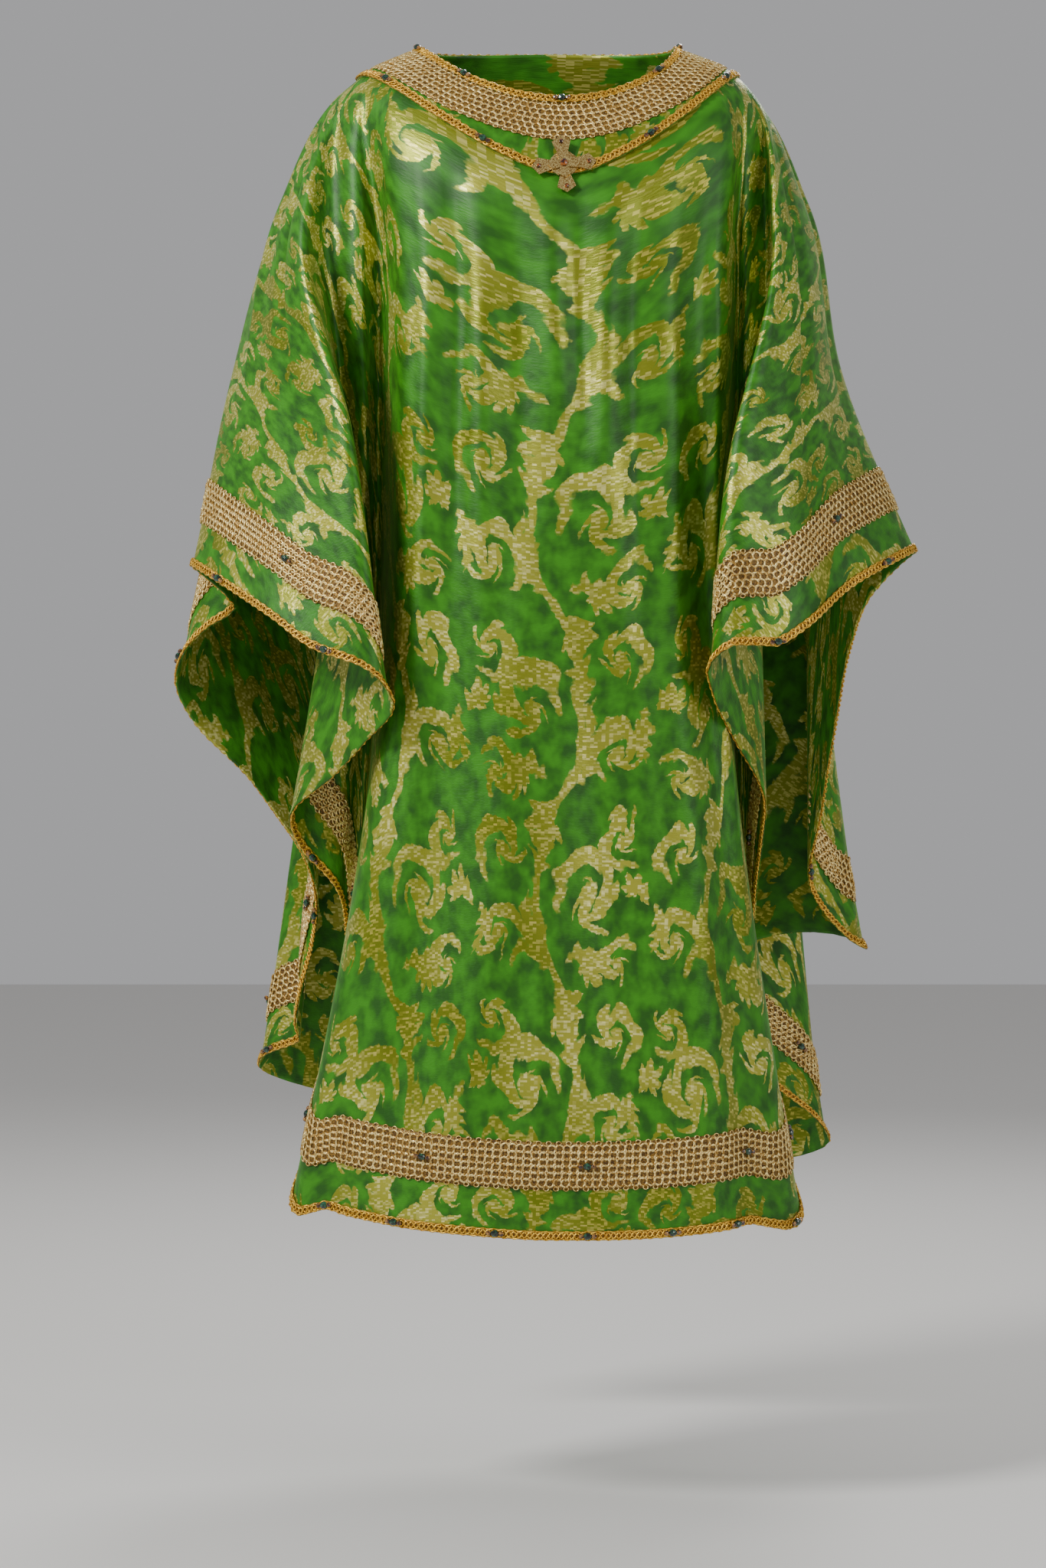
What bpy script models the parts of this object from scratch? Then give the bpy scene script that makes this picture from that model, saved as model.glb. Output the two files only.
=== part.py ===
"""A chasuble of green and gold damask in the form it takes when worn, trimmed with galloon and braid."""

from collections import namedtuple
from math import cos, pi, radians, sin

import bpy
import numpy as np
from mathutils import Matrix

MM = 0.001
CM = 0.01

# Thickness of each layer, and the gap kept between pieces that lie on each other.
CLOTH = 1.2 * MM
YOKE_CLOTH = 1.2 * MM
GALLOON_THICKNESS = 1.2 * MM
BRAID_THICKNESS = 1.8 * MM
GAP = 0.32 * MM

# Widths of the trims and where they lie.
BRAID_WIDTH = 9.0 * MM
GALLOON_WIDTH = 47.0 * MM
NECK_TO_GALLOON = 10.0 * MM
HEM_TO_GALLOON = 50.0 * MM

# The neck opening and the yoke's outer edge, as rings round the origin.
NECK_HALF_WIDTH = 131 * MM
NECK_FRONT = 100 * MM
NECK_BACK = 90 * MM
NECK_FRONT_DROP = 69 * MM
NECK_BACK_RISE = 14 * MM
YOKE_HALF_WIDTH = 198 * MM
YOKE_FRONT = 148 * MM
YOKE_BACK = 138 * MM
YOKE_SIDE_DROP = 33 * MM
YOKE_FRONT_DROP = 112 * MM
YOKE_BACK_DROP = 78 * MM
YOKE_POINT_DROP = 12 * MM
YOKE_POINT_HALF_WIDTH = 90 * MM
YOKE_FALL = 2.5
FRONT_SHIFT = 16 * MM

# The filigree cross, from its middle, and its cabochon stones.
CROSS_LEAN = 20
CROSS_TILT = 6
CROSS_RISE = 10 * MM
CROSS_PLATE = 1.2 * MM
CROSS_ROSETTE = 1.4 * MM
CROSS_REACH = 36 * MM
ARM_BASE = 12 * MM
ARM_BASE_HALF = 5.0 * MM
ARM_SHOULDER = 26 * MM
ARM_SHOULDER_HALF = 9.5 * MM
ARM_TIP = 32.5 * MM
FAN_REACH = 14.5 * MM
FAN_HALF_TURN = 17
PETAL_TIP = 16.5 * MM
PETAL_SHOULDER = 12 * MM
PETAL_SHOULDER_HALF = 6.2 * MM
PETAL_NOTCH = 6.5 * MM
STONE_OUT = 25.5 * MM
STONE_RADIUS = 2.4 * MM
STONE_HEIGHT = 1.7 * MM
CENTRE_STONE_RADIUS = 4.0 * MM
CENTRE_STONE_HEIGHT = 2.4 * MM
STONE_SIDES = 12

# Where each line down the cloth passes its five stations: neck, yoke's edge, chest, waist and hem.
STATIONS = (0.0, 0.10, 0.33, 0.64, 1.0)
BODY_ROWS = 11
FOLD_COLUMNS = (0.22, 0.78)
FLAT_COLUMNS = (0.12, 0.37, 0.62, 0.87)
FLAT_TURN = 13
SOFTENINGS = 3
SOFTENING = 0.4
EDGE_SHARE = 0.8
EDGE_LINES = (
    "panel_edge",
    "arm_valley",
    "wing_edge",
    "arm_seam",
    "cuff_ridge",
    "back_edge",
    "l_panel_edge",
    "l_wing_edge",
    "l_arm_seam",
    "l_sleeve_ridge",
    "l_back_edge",
)

# Each row is one line down the cloth, a ridge, a valley or a flat stretch. The turn is its angle round
# the neck from the front, positive to the wearer's right, and the places are (x, y, z) in centimetres.
Line = namedtuple("Line", "name turn chest waist hem")

FRONT_RIGHT_LINES = (
    Line("front_middle", 0, (1.5, -16.5, -30.5), (1.5, -17.5, -75.0), (1.0, -18.5, -122.0)),
    Line("front_flat", 20, (-6.0, -16.0, -30.0), (-8.0, -17.0, -75.0), (-12.5, -17.0, -121.2)),
    Line("front_side", 38, (-11.5, -15.0, -29.0), (-14.0, -15.5, -75.0), (-20.0, -14.0, -120.1)),
    Line("panel_edge", 52, (-15.0, -13.3, -27.0), (-16.2, -13.3, -65.6), (-25.8, -8.0, -118.3)),
    Line("side_valley", 58, (-16.2, -8.8, -24.0), (-16.8, -6.0, -60.0), (-20.4, -2.5, -109.0)),
    Line("side_hollow", 64, (-17.6, -7.0, -21.8), (-18.0, -3.5, -56.0), (-20.2, 1.5, -94.5)),
    Line("arm_ridge", 70, (-19.3, -11.5, -20.7), (-18.8, -10.5, -44.0), (-22.6, -4.5, -84.3)),
    Line("arm_valley", 75, (-22.0, -6.4, -20.0), (-21.8, -6.0, -42.0), (-25.8, -7.5, -78.3)),
    Line("wing_edge", 80, (-23.8, -10.8, -20.0), (-18.8, -17.0, -42.5), (-16.8, -17.0, -70.6)),
    Line("wing_front", 84, (-25.7, -9.5, -19.0), (-22.6, -16.5, -42.0), (-21.6, -20.0, -64.5)),
    Line("wing_side", 87, (-26.9, -6.5, -18.0), (-28.6, -12.0, -40.5), (-28.3, -17.0, -59.6)),
    Line("arm_seam", 90, (-27.6, 0.0, -16.0), (-33.2, 0.0, -34.0), (-36.6, -5.0, -54.3)),
)
BACK_RIGHT_LINES = (
    Line("cuff_valley", 93, (-26.9, 3.0, -16.5), (-31.3, 2.0, -37.0), (-29.1, -1.0, -60.0)),
    Line("cuff_ridge", 96, (-27.2, 5.5, -16.0), (-33.3, 5.5, -37.0), (-38.6, 3.0, -64.4)),
    Line("sleeve_back", 101, (-26.5, 9.0, -16.0), (-31.5, 10.0, -42.0), (-33.8, 8.0, -73.5)),
    Line("sleeve_turn", 107, (-24.6, 10.8, -16.0), (-27.6, 12.5, -50.0), (-26.9, 11.5, -82.9)),
    Line("sleeve_valley", 112, (-22.8, 12.2, -16.0), (-23.6, 13.5, -55.0), (-22.8, 14.0, -89.6)),
    Line("back_ridge", 118, (-21.1, 14.8, -16.0), (-24.8, 16.8, -60.4), (-29.2, 16.5, -104.4)),
    Line("back_crease", 123, (-19.4, 14.3, -16.0), (-21.0, 17.2, -62.2), (-25.3, 19.0, -105.2)),
    Line("back_edge", 128, (-17.8, 16.5, -16.5), (-26.0, 20.5, -63.0), (-31.6, 21.5, -107.6)),
    Line("back_valley", 134, (-15.2, 15.4, -17.5), (-20.4, 19.6, -65.0), (-26.3, 24.0, -109.8)),
    Line("back_flat", 155, (-7.8, 17.5, -19.0), (-10.4, 22.7, -70.4), (-13.1, 27.0, -119.2)),
    Line("back_middle", 180, (0.0, 17.0, -20.0), (0.0, 22.5, -70.5), (0.0, 28.0, -122.8)),
)
FRONT_LEFT_LINES = (
    Line("l_front_flat", -20, (8.7, -16.0, -30.0), (11.2, -16.5, -75.0), (14.0, -17.0, -121.7)),
    Line("l_front_hollow", -40, (14.6, -13.0, -28.5), (16.2, -12.7, -61.0), (21.2, -12.5, -120.9)),
    Line("l_panel_edge", -52, (17.7, -12.5, -27.0), (17.7, -12.5, -63.5), (25.8, -7.0, -120.2)),
    Line("l_side_valley", -57, (18.6, -9.0, -24.0), (18.2, -6.0, -60.0), (20.0, -2.5, -112.0)),
    Line("l_side_hollow", -61, (19.6, -6.4, -21.8), (20.2, -2.6, -56.0), (22.0, 2.0, -97.5)),
    Line("l_arm_ridge", -66, (20.0, -9.2, -21.0), (19.6, -8.4, -50.5), (21.2, -5.0, -84.0)),
    Line("l_arm_valley", -71, (23.0, -4.6, -20.0), (23.6, -4.2, -46.5), (24.2, -6.5, -77.0)),
    Line("l_wing_edge", -77.5, (22.8, -11.0, -20.5), (17.5, -17.5, -44.3), (16.4, -17.0, -66.2)),
    Line("l_wing_front", -80.5, (23.4, -11.0, -20.2), (20.8, -18.3, -44.5), (21.5, -20.0, -63.7)),
    Line("l_wing_turn", -83, (24.6, -9.5, -19.5), (25.0, -15.0, -42.7), (26.2, -18.0, -61.3)),
    Line("l_wing_crease", -85.5, (25.7, -7.5, -18.8), (27.2, -12.0, -41.6), (29.3, -13.0, -57.5)),
    Line("l_wing_side", -87.5, (26.6, -5.0, -17.8), (28.8, -9.0, -40.0), (32.7, -12.0, -55.6)),
)
BACK_LEFT_LINES = (
    Line("l_arm_seam", -90, (27.4, 0.0, -16.0), (30.8, 0.0, -33.0), (38.2, -3.0, -52.7)),
    Line("l_cuff_valley", -93, (27.2, 3.0, -16.5), (29.8, 3.0, -37.0), (32.1, 3.0, -56.8)),
    Line("l_cuff_turn", -96, (27.0, 5.0, -17.0), (29.4, 5.0, -44.0), (30.8, 5.5, -74.7)),
    Line("l_sleeve_back", -99, (26.7, 7.0, -17.0), (26.6, 8.0, -50.3), (26.6, 10.5, -94.5)),
    Line("l_sleeve_ridge", -103, (26.4, 9.2, -17.0), (29.4, 12.0, -51.8), (33.8, 13.5, -94.0)),
    Line("l_sleeve_valley", -108, (25.0, 11.0, -17.0), (22.8, 13.5, -52.0), (19.0, 14.5, -88.0)),
    Line("l_back_hollow", -118, (22.5, 13.8, -17.0), (20.8, 17.5, -62.3), (17.0, 18.8, -110.0)),
    Line("l_back_edge", -124, (20.6, 15.8, -17.0), (27.0, 20.5, -66.3), (30.9, 22.5, -115.3)),
    Line("l_back_valley", -132, (17.6, 16.0, -17.5), (21.0, 22.5, -66.3), (22.5, 26.5, -119.0)),
    Line("l_back_flat", -155, (9.0, 17.5, -19.0), (11.7, 23.5, -70.4), (12.7, 28.0, -122.0)),
)


def ring_of_lines():
    """The lines in their order round the garment, from the back middle by the front to the back again."""
    left_back = BACK_LEFT_LINES[::-1]
    left_front = FRONT_LEFT_LINES[::-1]
    return left_back + left_front + FRONT_RIGHT_LINES + BACK_RIGHT_LINES


def neck_place(turn):
    """The point of the neck opening at this turn."""
    forward = cos(turn)
    reach = NECK_FRONT if forward > 0 else NECK_BACK
    drop = -NECK_FRONT_DROP * forward**1.5 if forward > 0 else NECK_BACK_RISE * forward**2
    x = -NECK_HALF_WIDTH * sin(turn) + FRONT_SHIFT * max(0.0, forward)
    return np.array((x, -reach * forward, drop))


def yoke_place(turn):
    """The point of the yoke's outer edge at this turn."""
    forward = cos(turn)
    front = forward > 0
    reach = YOKE_FRONT if front else YOKE_BACK
    fall = YOKE_FRONT_DROP if front else YOKE_BACK_DROP
    x = -YOKE_HALF_WIDTH * sin(turn)
    point = YOKE_POINT_DROP * max(0.0, 1.0 - abs(x) / YOKE_POINT_HALF_WIDTH)
    drop = YOKE_SIDE_DROP + fall * abs(forward) ** YOKE_FALL + point
    return np.array((x + FRONT_SHIFT * max(0.0, forward), -reach * forward, -drop))


def hermite(values, knots, where):
    """A smooth curve through values at knots, read at each number of where."""
    values = np.asarray(values, float)
    knots = np.asarray(knots, float)
    steps = np.diff(knots)
    slopes = np.diff(values, axis=0) / steps.reshape((-1,) + (1,) * (values.ndim - 1))
    tangents = np.empty_like(values)
    tangents[0] = slopes[0]
    tangents[-1] = slopes[-1]
    for i in range(1, len(knots) - 1):
        before, after = steps[i - 1], steps[i]
        tangents[i] = (slopes[i - 1] * after + slopes[i] * before) / (before + after)
    found = []
    for w in where:
        i = min(max(int(np.searchsorted(knots, w, side="right")) - 1, 0), len(steps) - 1)
        h = steps[i]
        t = (w - knots[i]) / h
        found.append(
            values[i] * (2 * t**3 - 3 * t**2 + 1)
            + tangents[i] * h * (t**3 - 2 * t**2 + t)
            + values[i + 1] * (3 * t**2 - 2 * t**3)
            + tangents[i + 1] * h * (t**3 - t**2)
        )
    return np.array(found)


def row_places(line):
    """Points down one line: the yoke's rows, the body's rows and the hem's rows, at their real distances."""
    turn = radians(line.turn)
    ends = [neck_place(turn), yoke_place(turn)]
    ends += [np.array(place) * CM for place in (line.chest, line.waist, line.hem)]
    fine = np.linspace(0.0, 1.0, 401)
    curve = hermite(ends, STATIONS, fine)
    length = np.concatenate([[0.0], np.cumsum(np.linalg.norm(np.diff(curve, axis=0), axis=1))])
    yoke_end = np.interp(STATIONS[1], fine, length)
    hem = length[-1]
    body_start = yoke_end
    body_end = hem - HEM_TO_GALLOON - GALLOON_WIDTH
    body = np.linspace(body_start, body_end, BODY_ROWS + 1)[1:-1]
    rows = [0.0, NECK_TO_GALLOON, NECK_TO_GALLOON + GALLOON_WIDTH, yoke_end - BRAID_WIDTH, yoke_end]
    rows += list(body)
    rows += [body_end, body_end + GALLOON_WIDTH, hem - BRAID_WIDTH, hem]
    return np.stack([np.interp(rows, length, curve[:, axis]) for axis in range(3)], axis=1)


# Row numbers of the grid, counted from the neck.
ROW_NECK = 0
ROW_GALLOON_IN = 1
ROW_GALLOON_OUT = 2
ROW_YOKE_BRAID = 3
ROW_YOKE_EDGE = 4
ROW_HEM_GALLOON = ROW_YOKE_EDGE + BODY_ROWS
ROW_HEM_GALLOON_END = ROW_HEM_GALLOON + 1
ROW_HEM_BRAID = ROW_HEM_GALLOON + 2
ROW_HEM = ROW_HEM_GALLOON + 3


def cloth_grid():
    """The outer face as a closed ring of columns, each a list of rows, and the two seam columns."""
    lines = ring_of_lines()
    down = np.array([row_places(line) for line in lines])
    apart = np.linalg.norm(np.roll(down, -1, axis=0) - down, axis=2).mean(axis=1)
    knots = np.concatenate([[0.0], np.cumsum(apart**0.7)])
    round_again = 3
    wide = np.concatenate([down[-round_again:], down, down[: round_again + 1]])
    total = knots[-1]
    wide_knots = np.concatenate([knots[-round_again - 1 : -1] - total, knots, knots[1 : round_again + 1] + total])
    where = []
    seams = []
    beside_line = []
    for i, line in enumerate(lines):
        beside_line.append((len(where) - 1, len(where)))
        if line.name.endswith("arm_seam"):
            beside_line[i] = (len(where),)
            seams.append(len(where))
            where.append(knots[i])
        turn_step = (lines[(i + 1) % len(lines)].turn - line.turn) % 360
        steps = FLAT_COLUMNS if turn_step > FLAT_TURN else FOLD_COLUMNS
        where += [knots[i] + (knots[i + 1] - knots[i]) * step for step in steps]
    grid = hermite(wide, wide_knots, where)
    body = grid[:, ROW_YOKE_EDGE + 1 :]
    for _ in range(SOFTENINGS):
        beside = (np.roll(body, 1, axis=0) + np.roll(body, -1, axis=0)) / 2
        body += (beside - body) * SOFTENING
    for line, place, near in zip(lines, down, beside_line):
        if line.name in EDGE_LINES:
            pull = place[ROW_YOKE_EDGE + 1 :] - body[list(near)].mean(axis=0)
            pull *= np.linspace(0.0, 1.0, len(pull))[:, None]
            for column in near:
                body[column] += pull
            body[near[0] - 1] += pull * EDGE_SHARE
            body[(near[-1] + 1) % len(body)] += pull * EDGE_SHARE
    return grid, seams


def outward_normals(grid):
    """Unit normals of a ring of columns, pointing away from the wearer."""
    ahead = np.roll(grid, -1, axis=0) - grid
    ahead /= np.linalg.norm(ahead, axis=2, keepdims=True)
    across = ahead + np.roll(ahead, 1, axis=0)
    along = np.empty_like(grid)
    along[:, 1:-1] = grid[:, 2:] - grid[:, :-2]
    along[:, 0] = grid[:, 1] - grid[:, 0]
    along[:, -1] = grid[:, -1] - grid[:, -2]
    normal = np.cross(across, along)
    return normal / np.linalg.norm(normal, axis=2, keepdims=True)


def new_material(name, color, roughness, metallic):
    material = bpy.data.materials.new(name)
    material.use_nodes = True
    shader = material.node_tree.nodes["Principled BSDF"]
    shader.inputs["Base Color"].default_value = (*color, 1.0)
    shader.inputs["Roughness"].default_value = roughness
    shader.inputs["Metallic"].default_value = metallic
    return material


def add_object(name, vertices, faces, material, collection):
    mesh = bpy.data.meshes.new(name)
    mesh.from_pydata([tuple(v) for v in vertices], [], faces)
    mesh.validate()
    mesh.materials.append(material)
    mesh.shade_smooth()
    mesh.set_sharp_from_angle(angle=radians(50))
    piece = bpy.data.objects.new(name, mesh)
    collection.objects.link(piece)
    return piece


def add_wall(name, under, over, closed, material, collection):
    """A closed wall between two grids of points, columns by rows. A closed one joins its last column to its first."""
    columns, rows = under.shape[:2]
    vertices = list(over.reshape(-1, 3)) + list(under.reshape(-1, 3))
    lower = columns * rows
    faces = []
    for column in range(columns if closed else columns - 1):
        a = column * rows
        b = ((column + 1) % columns) * rows
        for row in range(rows - 1):
            faces.append((a + row, b + row, b + row + 1, a + row + 1))
            faces.append((lower + a + row, lower + a + row + 1, lower + b + row + 1, lower + b + row))
        faces.append((b, a, lower + a, lower + b))
        end = rows - 1
        faces.append((a + end, b + end, lower + b + end, lower + a + end))
    if not closed:
        last = (columns - 1) * rows
        for row in range(rows - 1):
            faces.append((row, row + 1, lower + row + 1, lower + row))
            faces.append((last + row + 1, last + row, lower + last + row, lower + last + row + 1))
    return add_object(name, vertices, faces, material, collection)


def between(grid, first, last):
    """The columns from first to last inclusive of a ring."""
    count = len(grid)
    span = (last - first) % count
    return grid[[(first + i) % count for i in range(span + 1)]]


def seam_edge(block):
    """A block of columns whose first and last are drawn in by half the seam gap."""
    drawn = block.copy()
    for edge, inner in ((0, 1), (-1, -2)):
        step = block[inner] - block[edge]
        drawn[edge] = block[edge] + step / np.linalg.norm(step, axis=1, keepdims=True) * GAP / 2
    return drawn


def polar(radius, degrees):
    return np.array((radius * cos(radians(degrees)), radius * sin(radians(degrees))))


def cross_outline():
    """Four pointed arms with a two-pointed fan between each pair."""
    points = []
    for quarter in range(4):
        out = 90.0 * quarter
        along, side = polar(1.0, out), polar(1.0, out + 90)
        points.append(along * ARM_BASE - side * ARM_BASE_HALF)
        points.append(along * ARM_SHOULDER - side * ARM_SHOULDER_HALF)
        points.append(along * ARM_TIP)
        points.append(along * ARM_SHOULDER + side * ARM_SHOULDER_HALF)
        points.append(along * ARM_BASE + side * ARM_BASE_HALF)
        points.append(polar(FAN_REACH, out + 45 - FAN_HALF_TURN))
        points.append(polar(FAN_REACH, out + 45 + FAN_HALF_TURN))
    return points


def rosette_outline():
    """Four kite-shaped petals that meet round the centre stone."""
    points = []
    for quarter in range(4):
        out = 90.0 * quarter
        along, side = polar(1.0, out), polar(1.0, out + 90)
        points.append(along * PETAL_SHOULDER - side * PETAL_SHOULDER_HALF)
        points.append(along * PETAL_TIP)
        points.append(along * PETAL_SHOULDER + side * PETAL_SHOULDER_HALF)
        points.append(polar(PETAL_NOTCH, out + 45))
    return points


def add_flat_piece(name, outline, bottom, thickness, frame, material, collection):
    """A flat outline with a thickness, its underside at this height above the frame's plane."""
    curve = bpy.data.curves.new(name, "CURVE")
    curve.dimensions = "2D"
    curve.fill_mode = "BOTH"
    curve.extrude = thickness / 2
    spline = curve.splines.new("POLY")
    spline.points.add(len(outline) - 1)
    for point, (x, y) in zip(spline.points, outline):
        point.co = (x, y, 0.0, 1.0)
    spline.use_cyclic_u = True
    curve.materials.append(material)
    piece = bpy.data.objects.new(name, curve)
    piece.matrix_world = frame @ Matrix.Translation((0.0, 0.0, bottom + thickness / 2))
    collection.objects.link(piece)
    weld = piece.modifiers.new("weld", "WELD")
    weld.merge_threshold = 0.00001
    return piece


def add_stone(name, place, bottom, radius, height, frame, material, collection):
    """A cabochon: a domed profile turned about its axis."""
    rise = [0.0, pi / 6, pi / 3, pi / 2]
    profile = [(radius * sin(a), 0.0, height * cos(a) + radius * 0.2) for a in rise]
    profile += [(radius, 0.0, 0.0), (0.0, 0.0, 0.0)]
    mesh = bpy.data.meshes.new(name)
    mesh.from_pydata(profile, [(i, i + 1) for i in range(len(profile) - 1)], [])
    mesh.materials.append(material)
    piece = bpy.data.objects.new(name, mesh)
    piece.matrix_world = frame @ Matrix.Translation((*place, bottom))
    collection.objects.link(piece)
    screw = piece.modifiers.new("turned", "SCREW")
    screw.steps = STONE_SIDES
    screw.render_steps = STONE_SIDES
    screw.use_merge_vertices = True
    screw.merge_threshold = 0.0001
    return piece


def cross_frame(layers, middle):
    """Where the cross lies: its axes, and its plane moved out until it clears each layer below it."""
    lean, tilt = radians(CROSS_LEAN), radians(CROSS_TILT)
    right = np.array((1.0, 0.0, 0.0))
    up = np.array((0.0, sin(lean), cos(lean)))
    out = np.cross(right, up)
    across = right * cos(tilt) + up * sin(tilt)
    upright = up * cos(tilt) - right * sin(tilt)
    centre = middle + up * CROSS_RISE
    highest = -1.0
    for layer in layers:
        for near, far in ((layer[:-1], layer[1:]), (layer[:, :-1], layer[:, 1:])):
            for part in np.linspace(0.0, 1.0, 9):
                places = (near * (1 - part) + far * part).reshape(-1, 3) - centre
                height = places @ out
                under = np.linalg.norm(places - height[:, None] * out, axis=1) < CROSS_REACH
                facing = under & (abs(height) < CROSS_REACH)
                highest = max(highest, height[facing].max(initial=-1.0))
    centre = centre + out * (highest + GAP)
    frame = Matrix.Identity(4)
    for column, axis in enumerate((across, upright, out, centre)):
        for row in range(3):
            frame[row][column] = axis[row]
    return frame


def add_cross(layers, middle, collection):
    gold = new_material("gold_filigree", (0.55, 0.36, 0.12), 0.3, 0.9)
    amber = new_material("amber_stone", (0.16, 0.03, 0.01), 0.1, 0.0)
    frame = cross_frame(layers, middle)
    add_flat_piece("cross_plate", cross_outline(), 0.0, CROSS_PLATE, frame, gold, collection)
    plate_top = CROSS_PLATE + GAP
    add_flat_piece("cross_rosette", rosette_outline(), plate_top, CROSS_ROSETTE, frame, gold, collection)
    for quarter, name in enumerate(("stone_right", "stone_top", "stone_left", "stone_bottom")):
        place = polar(STONE_OUT, 90 * quarter)
        add_stone(name, place, plate_top, STONE_RADIUS, STONE_HEIGHT, frame, amber, collection)
    rosette_top = plate_top + CROSS_ROSETTE + GAP
    add_stone(
        "stone_centre", (0.0, 0.0), rosette_top, CENTRE_STONE_RADIUS, CENTRE_STONE_HEIGHT, frame, amber, collection
    )


def build():
    for leftover in list(bpy.data.objects):
        bpy.data.objects.remove(leftover)
    collection = bpy.data.collections.new("chasuble")
    bpy.context.scene.collection.children.link(collection)

    damask = new_material("green_gold_damask", (0.05, 0.19, 0.01), 0.55, 0.0)
    galloon = new_material("gold_galloon", (0.42, 0.25, 0.06), 0.4, 0.8)
    braid = new_material("yellow_gold_braid", (0.62, 0.36, 0.03), 0.45, 0.6)

    grid, (left_seam, right_seam) = cloth_grid()
    normal = outward_normals(grid)

    def lifted(first_row, last_row, height):
        rows = slice(first_row, last_row + 1)
        return grid[:, rows] + normal[:, rows] * height

    def add_ring(name, first_row, last_row, bottom, thickness, material):
        under = lifted(first_row, last_row, bottom)
        over = lifted(first_row, last_row, bottom + thickness)
        add_wall(name, under, over, True, material, collection)
        return over

    def add_halves(name, first_row, last_row, bottom, thickness, material):
        tops = []
        for half, first, last in (("front", left_seam, right_seam), ("back", right_seam, left_seam)):
            under = seam_edge(between(lifted(first_row, last_row, bottom), first, last))
            over = seam_edge(between(lifted(first_row, last_row, bottom + thickness), first, last))
            add_wall(name.format(half), under, over, False, material, collection)
            tops.append(over)
        return tops

    front_top, _ = add_halves("{}_panel", ROW_NECK, ROW_HEM, -CLOTH, CLOTH, damask)
    yoke_top = add_ring("yoke", ROW_NECK, ROW_YOKE_EDGE, GAP, YOKE_CLOTH, damask)
    on_yoke = GAP + YOKE_CLOTH + GAP
    galloon_top = add_ring(
        "yoke_galloon", ROW_GALLOON_IN, ROW_GALLOON_OUT, on_yoke, GALLOON_THICKNESS, galloon
    )
    braid_top = add_ring("yoke_braid", ROW_YOKE_BRAID, ROW_YOKE_EDGE, on_yoke, BRAID_THICKNESS, braid)

    inside, outside = (lifted(ROW_NECK, ROW_GALLOON_IN, h) for h in (on_yoke, on_yoke + BRAID_THICKNESS))
    narrow = BRAID_WIDTH / NECK_TO_GALLOON
    for band in (inside, outside):
        band[:, 1] = band[:, 0] * (1 - narrow) + band[:, 1] * narrow
    add_wall("neck_braid", inside, outside, True, braid, collection)

    add_halves("hem_galloon_{}", ROW_HEM_GALLOON, ROW_HEM_GALLOON_END, GAP, GALLOON_THICKNESS, galloon)
    add_halves("hem_braid_{}", ROW_HEM_BRAID, ROW_HEM, GAP, BRAID_THICKNESS, braid)

    add_cross((front_top, yoke_top, galloon_top, braid_top), yoke_place(0.0), collection)


build()
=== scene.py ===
"""A chasuble of green and gold damask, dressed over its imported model."""

from collections import namedtuple
from math import cos, pi, radians, sin

import bpy
import numpy as np
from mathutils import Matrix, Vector


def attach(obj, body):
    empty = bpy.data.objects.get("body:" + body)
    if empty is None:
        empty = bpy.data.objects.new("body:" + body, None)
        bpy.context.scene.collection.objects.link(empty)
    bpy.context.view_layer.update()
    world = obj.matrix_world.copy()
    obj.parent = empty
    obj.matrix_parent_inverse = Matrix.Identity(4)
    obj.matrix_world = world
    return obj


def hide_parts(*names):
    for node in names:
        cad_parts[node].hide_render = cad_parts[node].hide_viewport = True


MM = 0.001
CM = 0.01

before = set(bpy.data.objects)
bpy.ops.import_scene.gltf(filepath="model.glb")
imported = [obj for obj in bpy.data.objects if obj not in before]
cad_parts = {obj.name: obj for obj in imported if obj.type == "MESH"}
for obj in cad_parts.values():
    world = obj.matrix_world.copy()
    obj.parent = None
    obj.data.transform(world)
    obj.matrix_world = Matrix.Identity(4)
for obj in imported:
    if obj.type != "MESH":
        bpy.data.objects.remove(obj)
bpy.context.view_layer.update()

# Thickness of each layer, and the gap kept between pieces that lie on each other.
CLOTH = 0.8 * MM
YOKE_CLOTH = 1.2 * MM
GALLOON_GROUND = 0.6 * MM
BRAID_GROUND = 0.8 * MM
GAP = 0.32 * MM
ON_YOKE = GAP + YOKE_CLOTH + GAP
FLOOR = -1.5

# Widths of the trims and where they lie.
BRAID_WIDTH = 9.0 * MM
GALLOON_WIDTH = 47.0 * MM
NECK_TO_GALLOON = 10.0 * MM
HEM_TO_GALLOON = 50.0 * MM

# The neck opening and the yoke's outer edge, as rings round the origin.
NECK_HALF_WIDTH = 131 * MM
NECK_FRONT = 100 * MM
NECK_BACK = 90 * MM
NECK_FRONT_DROP = 69 * MM
NECK_BACK_RISE = 14 * MM
YOKE_HALF_WIDTH = 198 * MM
YOKE_FRONT = 148 * MM
YOKE_BACK = 138 * MM
YOKE_SIDE_DROP = 33 * MM
YOKE_FRONT_DROP = 112 * MM
YOKE_BACK_DROP = 78 * MM
YOKE_POINT_DROP = 12 * MM
YOKE_POINT_HALF_WIDTH = 90 * MM
YOKE_FALL = 2.5
FRONT_SHIFT = 16 * MM

# Where each line down the cloth passes its five stations: neck, yoke's edge, chest, waist and hem.
STATIONS = (0.0, 0.10, 0.33, 0.64, 1.0)
BODY_ROWS = 11
FOLD_COLUMNS = (0.22, 0.78)
FLAT_COLUMNS = (0.12, 0.37, 0.62, 0.87)
FLAT_TURN = 13
SOFTENINGS = 3
SOFTENING = 0.4
EDGE_SHARE = 0.8
EDGE_LINES = (
    "panel_edge",
    "arm_valley",
    "wing_edge",
    "arm_seam",
    "cuff_ridge",
    "back_edge",
    "l_panel_edge",
    "l_wing_edge",
    "l_arm_seam",
    "l_sleeve_ridge",
    "l_back_edge",
)

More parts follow.
